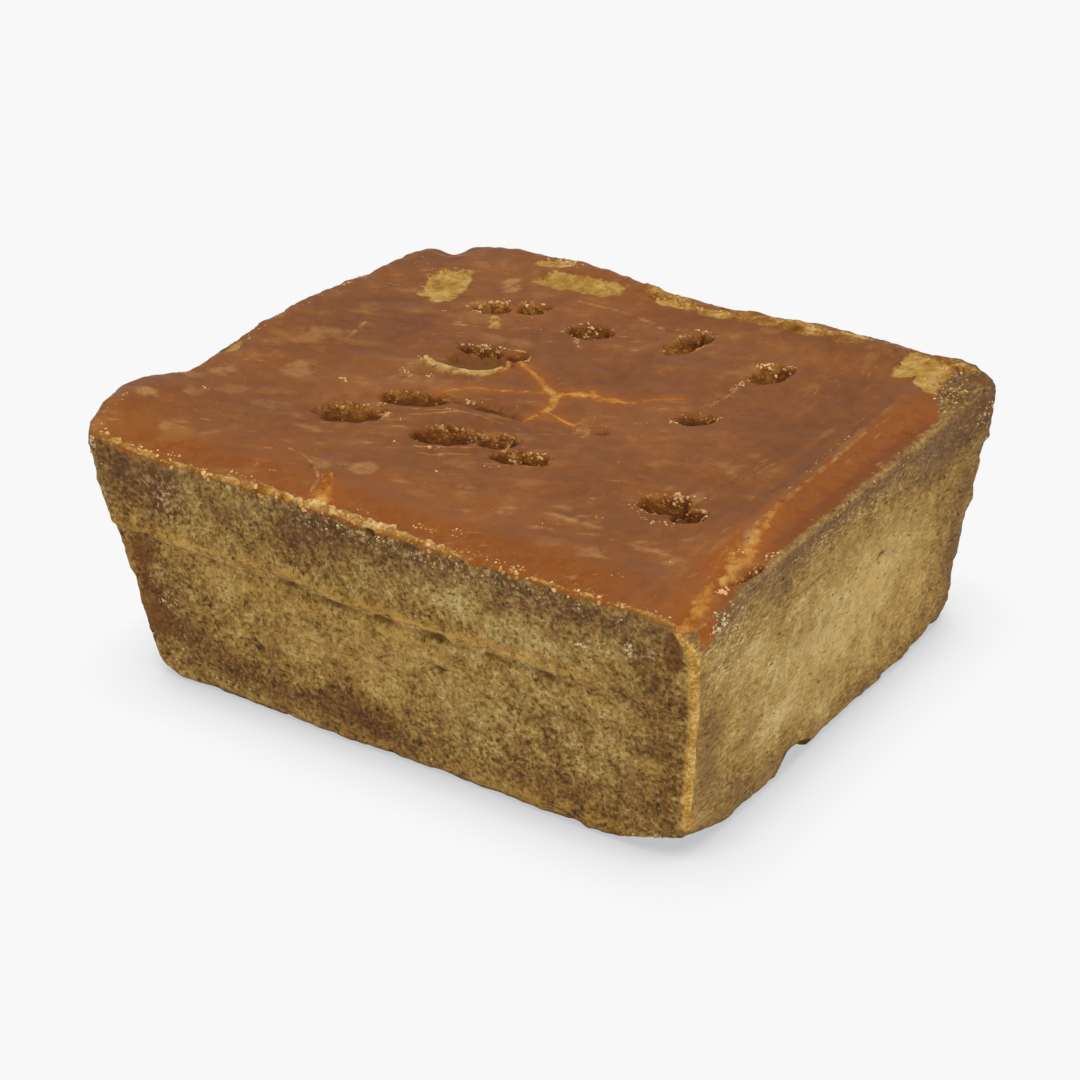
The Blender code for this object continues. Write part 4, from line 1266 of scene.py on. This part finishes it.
def sideColours(tree, where, speckle, pores, noises, ragged):
    broad, clouds, blotches = noises
    tone, right, crumbly, abovePour = (mark(tree, name) for name in ("tone", "right", "crumbly", "abovePour"))
    level = timesPlus(tone, 0.27, 0.55)
    mottling = times(timesPlus(right, -0.45, 1.0), 0.9)
    contrast = timesPlus(calc("MAXIMUM", tone, 0.0), -0.3, 0.88)
    contrast = timesPlus(crumbly, 0.5, timesPlus(right, -0.2, contrast))
    level = addPatterns(level, (blotches, mottling), (clouds, 0.75), (broad, 0.25),
                        (blotches, times(crumbly, 1.2)), (speckle, contrast))
    grit = noiseNode(where, 1250, 2, 0.6, "grit")
    hue = noiseNode(where, 150, 3, 0.6, "browner and greyer")
    tint = noiseNode(where, 620, 2, 0.6, "pinker and greener")
    lumps = step(addPatterns(blotches, (clouds, 0.8)), 0.46, 0.54)
    sides = layered(ramp(level, looks["sides"], "sides"), (
        (times(below(grit, 0.36, 0.42), timesPlus(right, -0.6, 1.0)), "gap", "gaps between grains", 0.75),
        (step(grit, 0.6, 0.68), "paleGrain", "pale grains", 0.4),
        (step(hue, 0.52, 0.68), "brownSugar", "browner", 0.35),
        (step(tint, 0.53, 0.64), "pinkSugar", "pinker", 0.3),
        (below(tint, 0.36, 0.46), "greenSugar", "greener", 0.2),
        (times(step(abovePour, 5, 13), timesPlus(right, 0.5, 0.4)), "greySugar", "greyer above", 0.36),
        (times(crumbly, lumps), "chunk", "brown chunks", 0.8),
        (times(right, below(tone, -0.5, 0.1)), "duskSugar", "greyer by the edges", 0.4),
        (below(tone, -0.9, -0.2), "brownSugar", "dark and redder", 0.3),
    ))

    # the golden stripe over the line between the two pours
    patchy = step(addPatterns(blotches, (clouds, 0.7)), 0.3, 0.55)
    warm = times(times(mark(tree, "warm"), step(speckle, 0.0, 0.6), clamp=True), patchy)
    threads = noiseNode(stretched(where, 0, (5, 5, 1)), 650, 2, 0.6, "threads of the pour")
    golden = layered(looks["yellowSugar"], (
        (below(threads, 0.37, 0.46), "orangeThreadsAndGrooveShade", "orange threads", 0.6),
        (step(threads, 0.55, 0.64), "paleThreadsAndCrestHighlight", "pale threads", 0.7),
    ))
    sides = blend(warm, sides, golden, "yellow sugar", 0.8)
    # painted light along the pour line: a pale painted highlight on its crest, and painted shade in the
    # groove just over it
    for height, breadth, gate, label, tint in (
        (0.7, 0.45, step(clouds, 0.46, 0.56), "painted highlight on the pour's crest", "paleThreadsAndCrestHighlight"),
        (1.9, 0.4, below(clouds, 0.44, 0.52), "painted groove shade over the pour", "orangeThreadsAndGrooveShade"),
    ):
        away = timesPlus(centred(blotches), 2.2, calc("ABSOLUTE", calc("SUBTRACT", abovePour, height)))
        line = times(times(below(away, breadth * 0.3, breadth), gate), warm)
        sides = blend(line, sides, looks[tint], label, 0.75)

    under = times(below(calc("ABSOLUTE", calc("ADD", abovePour, 1.7)), 0.2, 0.9), step(clouds, 0.5, 0.6))
    return layered(sides, (
        (under, "pourShade", "shade under the pour line", 0.35),
        (times(mark(tree, "crystal"), step(speckle, 0.55, 0.8), clamp=True), "crystal", "crystals", 0.7),
        (raggedStep(mark(tree, "skin"), 0.8, ragged, 0.3, 0.6), "skin", "smooth skin", 0.6),
        (pores, "pore", "pin holes", 0.6),
        # small pits: their brown with painted shade, darker the deeper they are
        (raggedStep(mark(tree, "pit"), 0.5, ragged, 0.0, 0.75), "hollow", "small pits", 0.8),
        (raggedStep(mark(tree, "amber"), 0.8, ragged, 0.3, 0.8), "amber", "clear amber by the corner", 0.85),
        # painted contact shadow: the foot of the sides is darkened where they meet the ground
        (mark(tree, "foot"), "paintedFootShadow", "painted contact shadow at the foot", 0.8),
    ))


def topColours(tree, where, speckle, noises, masks):
    broad, clouds, blotches = noises
    lift = mark(tree, "lift")
    wide = timesPlus(mark(tree, "tone"), 0.22, timesPlus(lift, 0.09, broad))
    top = ramp(addPatterns(wide, (clouds, 0.5), (blotches, 0.75)), looks["top"], "top")
    band = raggedStep(mark(tree, "band"), 0.9, centred(clouds), 0.1, 0.95)
    clear = blend(step(blotches, 0.4, 0.62), looks["band"], looks["darkBand"], "darker amber", 0.6)
    top = blend(times(band, step(blotches, 0.2, 0.55)), top, clear, "clear amber edge", 0.88)

    # dashes lie along a slant in the middle and along the right edge beside it
    dashes = noiseNode(stretched(where, block["paddleTurn"], (3.6, 0.8, 1)), 800, 2, 0.55, "dashes")
    edgeDashes = noiseNode(stretched(where, 88, (5.0, 0.7, 1)), 800, 2, 0.55, "dashes along the edge")
    dashes = timesPlus(calc("SUBTRACT", edgeDashes, dashes), mark(tree, "alongEdge"), dashes)
    specks = noiseNode(where, 1500, 2, 0.5, "specks")
    darkEdge = raggedStep(mark(tree, "darkAmber"), 0.6, centred(blotches), 0.2, 1.0)
    crests = times(step(addPatterns(lift, (blotches, 1.5)), 0.35, 0.9), step(clouds, 0.4, 0.62))
    top = layered(top, (
        (darkEdge, "darkAmber", "darker amber at the right rim", 0.55),
        (crests, "smear", "pale crests", 0.22),
        (times(mark(tree, "smear"), step(blotches, 0.3, 0.6)), "smear", "smears", 0.78),
        (times(step(dashes, 0.61, 0.73), step(clouds, 0.47, 0.6)), "smear", "dashes", 0.55),
        (times(step(specks, 0.66, 0.76), step(clouds, 0.44, 0.58)), "smear", "specks", 0.6),
    ))

    flakeLevel = addPatterns(speckle, (speckle, -0.6), (blotches, 1.1), (clouds, 1.2))
    top = blend(masks["flake"], top, ramp(flakeLevel, looks["flakes"]), "flakes", 0.88)
    top = blend(mark(tree, "veinAmber"), top, looks["glow"], "amber round the veins", 0.5)
    # the pits' amber and golden crumbs, with painted light: the far wall paler as if lit, and the floor and
    # near side darker as painted shade, more so in deeper pits
    pitLightLevel = timesPlus(step(mark(tree, "farWall"), 0.35, 1.0), 0.55, 0.14)
    pitTintAndShade = ramp(addPatterns(pitLightLevel, (speckle, 0.35), (blotches, 0.8), (clouds, 0.5)), looks["pit"])
    pitTintAndShade = blend(mark(tree, "grey"), pitTintAndShade, looks["greyPit"], "smooth dent", 0.9)
    top = blend(masks["pit"], top, pitTintAndShade, "pits with painted shade and light", 0.85)
    paleness = mark(tree, "paleness")
    veinTint = layered(ramp(paleness, looks["veins"]), (
        (step(blotches, 0.5, 0.66), "paleGold", "paler grains", 0.5),
        (below(blotches, 0.34, 0.46), "flakeShade", "duller grains", 0.5),
    ))
    veinShare = times(masks["vein"], step(addPatterns(clouds, (blotches, 1.2)), 0.15, 0.68))
    strength = ramp(paleness, [(place, (value, value, value, 1)) for place, value in looks["veinStrength"]])
    return blend(times(veinShare, strength), top, veinTint, "veins")


def jaggeryMaterial():
    material, tree, shader, where = newMaterial("setJaggery")
    speckle, pores = speckleNode(tree, stretched(where, 0, (1, 1, 1)), "speckle", 1050)
    rightSpeckle, pores = speckleNode(tree, stretched(where, 0, (1, 2.6, 1)), "right side's speckle", 1900)
    speckle = timesPlus(calc("SUBTRACT", rightSpeckle, speckle), mark(tree, "right"), speckle)
    noises = (
        noiseNode(where, 26, 2, 0.5, "broad"),
        noiseNode(where, 110, 3, 0.6, "clouds"),
        noiseNode(where, 330, 3, 0.6, "blotches"),
    )
    clouds, blotches = noises[1:]
    ragged = centred(noiseNode(where, 900, 3, 0.7, "ragged edges"))
    masks = {}
    for name, source, wander, border, low, high in (
        ("flake", "flake", 0.5, addPatterns(ragged, (blotches, 1.0)), -0.06, 0.16),
        ("vein", "vein", 1.1, ragged, -0.3, 0.6),
        ("pit", "pit", 0.4, ragged, -0.04, 0.34),
        ("crust", "crust", 1.2, ragged, 0.3, 0.6),
        ("top", "fromRim", 3.0, addPatterns(ragged, (blotches, 0.8)), -1.0, 0.1),
    ):
        masks[name] = raggedStep(mark(tree, source), wander, border, low, high)
    sides = sideColours(tree, where, speckle, pores, noises, ragged)
    ridgeTint = ramp(timesPlus(centred(blotches), 1.0, speckle), looks["ridge"])
    sides = blend(masks["vein"], sides, ridgeTint, "corner ridge")
    top = topColours(tree, where, speckle, noises, masks)
    whole = blend(masks["top"], sides, top, "top over sides")
    crustLevel = timesPlus(mark(tree, "backRim"), -0.14, 0.55)
    crustLevel = addPatterns(crustLevel, (blotches, 1.7), (clouds, 1.2), (speckle, 0.4))
    whole = blend(masks["crust"], whole, ramp(crustLevel, looks["crust"]), "rim crust", 0.8)
    connect(whole, shader.inputs["Base Color"])

    # gloss: waxy on top, dry on the sides and where the skin is broken
    dry = calc("SUBTRACT", 1, masks["top"])
    for name in ("flake", "pit", "crust", "vein"):
        dry = calc("MAXIMUM", dry, masks[name])
    gloss = timesPlus(dry, looks["sideRoughness"] - looks["topRoughness"], looks["topRoughness"])
    connect(timesPlus(centred(clouds), 0.4, gloss, clamp=True), shader.inputs["Roughness"])

    # relief finer than the mesh
    ripples = bumpNode(calc("ADD", blotches, clouds), 0.5, 0.0002, "waxy ripples")
    grains = bumpNode(calc("SUBTRACT", speckle, pores), times(dry, 0.8), 0.0004, "grains", ripples)
    connect(grains, shader.inputs["Normal"])
    shader.inputs["Specular IOR Level"].default_value = looks["gloss"]
    return material


def grainMaterial(name, *tints):
    material, tree, shader, where = newMaterial(name)
    fine = speckleNode(tree, where, "fine speckle", grainLooks["perMetre"])[0]
    level = timesPlus(centred(fine), 0.3, mark(tree, "grainTone"))
    connect(ramp(level, list(zip((0.0, 0.5, 1.0), tints))), shader.inputs["Base Color"])
    connect(bumpNode(fine, 0.4, 0.0001, "facets"), shader.inputs["Normal"])
    shader.inputs["Roughness"].default_value = grainLooks["roughness"]
    shader.inputs["Specular IOR Level"].default_value = grainLooks["gloss"]
    return material


grainLooks = {
    "perMetre": 2200, "roughness": 0.6, "gloss": 0.25,
    # dark, middling and pale sugar
    "pitGrains": (colour(84, 46, 14), colour(150, 98, 34), colour(204, 158, 80)),
    "rimGrains": (colour(150, 90, 34), colour(196, 142, 68), colour(230, 198, 140)),
    "topCrumbs": (colour(104, 58, 20), colour(164, 112, 54), colour(222, 186, 128)),
    "sideCrumbs": (colour(110, 74, 34), colour(160, 124, 66), colour(214, 194, 150)),
}
jaggery.data.materials.append(jaggeryMaterial())
for piece in loosePieces:
    piece.data.materials.append(grainMaterial(piece.name + "Sugar", *grainLooks[piece.name]))
print("materials made")

for piece in [jaggery] + loosePieces:
    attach(piece, "root")
    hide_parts("jaggery_block")


# floor, light and camera

studio = {
    "floorSize": 6.0,
    "floorTints": ((0.35, colour(192, 192, 194)), (0.7, colour(236, 236, 237)), (1.0, colour(248, 248, 248))),
    "shadowReach": 0.018,
    "sky": ((0.0, colour(150, 150, 150)), (1.0, colour(248, 248, 248))),
    "lamps": (("keyLight", (0.88, -0.24, 1.08), 0.8, 9), ("fillLight", (-0.5, -1.1, 0.7), 0.8, 1.5)),
    "camera": (264.18, -402.65, 279.39),  # on the drawing
    "azimuth": 33.487,
    "elevation": 28.146,
    "lens": 89.587,
}


def addFloor():
    bpy.ops.object.select_all(action="DESELECT")
    bpy.ops.mesh.primitive_plane_add(size=studio["floorSize"], location=(0, 0, cadLow.z - 0.0001))
    floor = bpy.context.object
    floor.name = "studioFloor"
    paint = bpy.data.materials.new("floorPaint")
    paint.use_nodes = True
    tree = paint.node_tree
    tree.nodes.remove(tree.nodes["Principled BSDF"])
    nearby = addNode(tree, "ShaderNodeAmbientOcclusion", "contact shadow")
    nearby.inputs["Distance"].default_value = studio["shadowReach"]
    glow = addNode(tree, "ShaderNodeEmission")
    connect(ramp(nearby.outputs["AO"], studio["floorTints"]), glow.inputs["Color"])
    connect(glow.outputs[0], tree.nodes["Material Output"].inputs["Surface"])
    floor.data.materials.append(paint)


def addSky():
    world = bpy.data.worlds.new("studio")
    bpy.context.scene.world = world
    world.use_nodes = True
    tree = world.node_tree
    axes = addNode(tree, "ShaderNodeSeparateXYZ")
    connect(addNode(tree, "ShaderNodeTexCoord").outputs["Generated"], axes.inputs[0])
    connect(ramp(axes.outputs[2], studio["sky"]), tree.nodes["Background"].inputs["Color"])


def addLamps():
    for name, place, size, power in studio["lamps"]:
        light = bpy.data.lights.new(name, "AREA")
        light.shape = "DISK"
        light.size = size
        light.energy = power
        lamp = bpy.data.objects.new(name, light)
        lamp.location = place
        lamp.rotation_euler = Vector(place).to_track_quat("Z", "Y").to_euler()
        bpy.context.scene.collection.objects.link(lamp)


def addCamera():
    camera = bpy.data.cameras.new("camera")
    camera.lens = studio["lens"]
    camera.sensor_width = 36
    camera.clip_start = 0.01
    viewer = bpy.data.objects.new("camera", camera)
    around, above = math.radians(studio["azimuth"]), math.radians(studio["elevation"])
    back = Vector((math.cos(above) * math.sin(around), -math.cos(above) * math.cos(around), math.sin(above)))
    viewer.location = (np.array(studio["camera"]) * millimetre + away).tolist()
    viewer.rotation_euler = back.to_track_quat("Z", "Y").to_euler()
    bpy.context.scene.collection.objects.link(viewer)
    bpy.context.scene.camera = viewer


addFloor()
addSky()
addLamps()
addCamera()
bpy.context.scene.view_settings.view_transform = "Standard"
print("studio set")
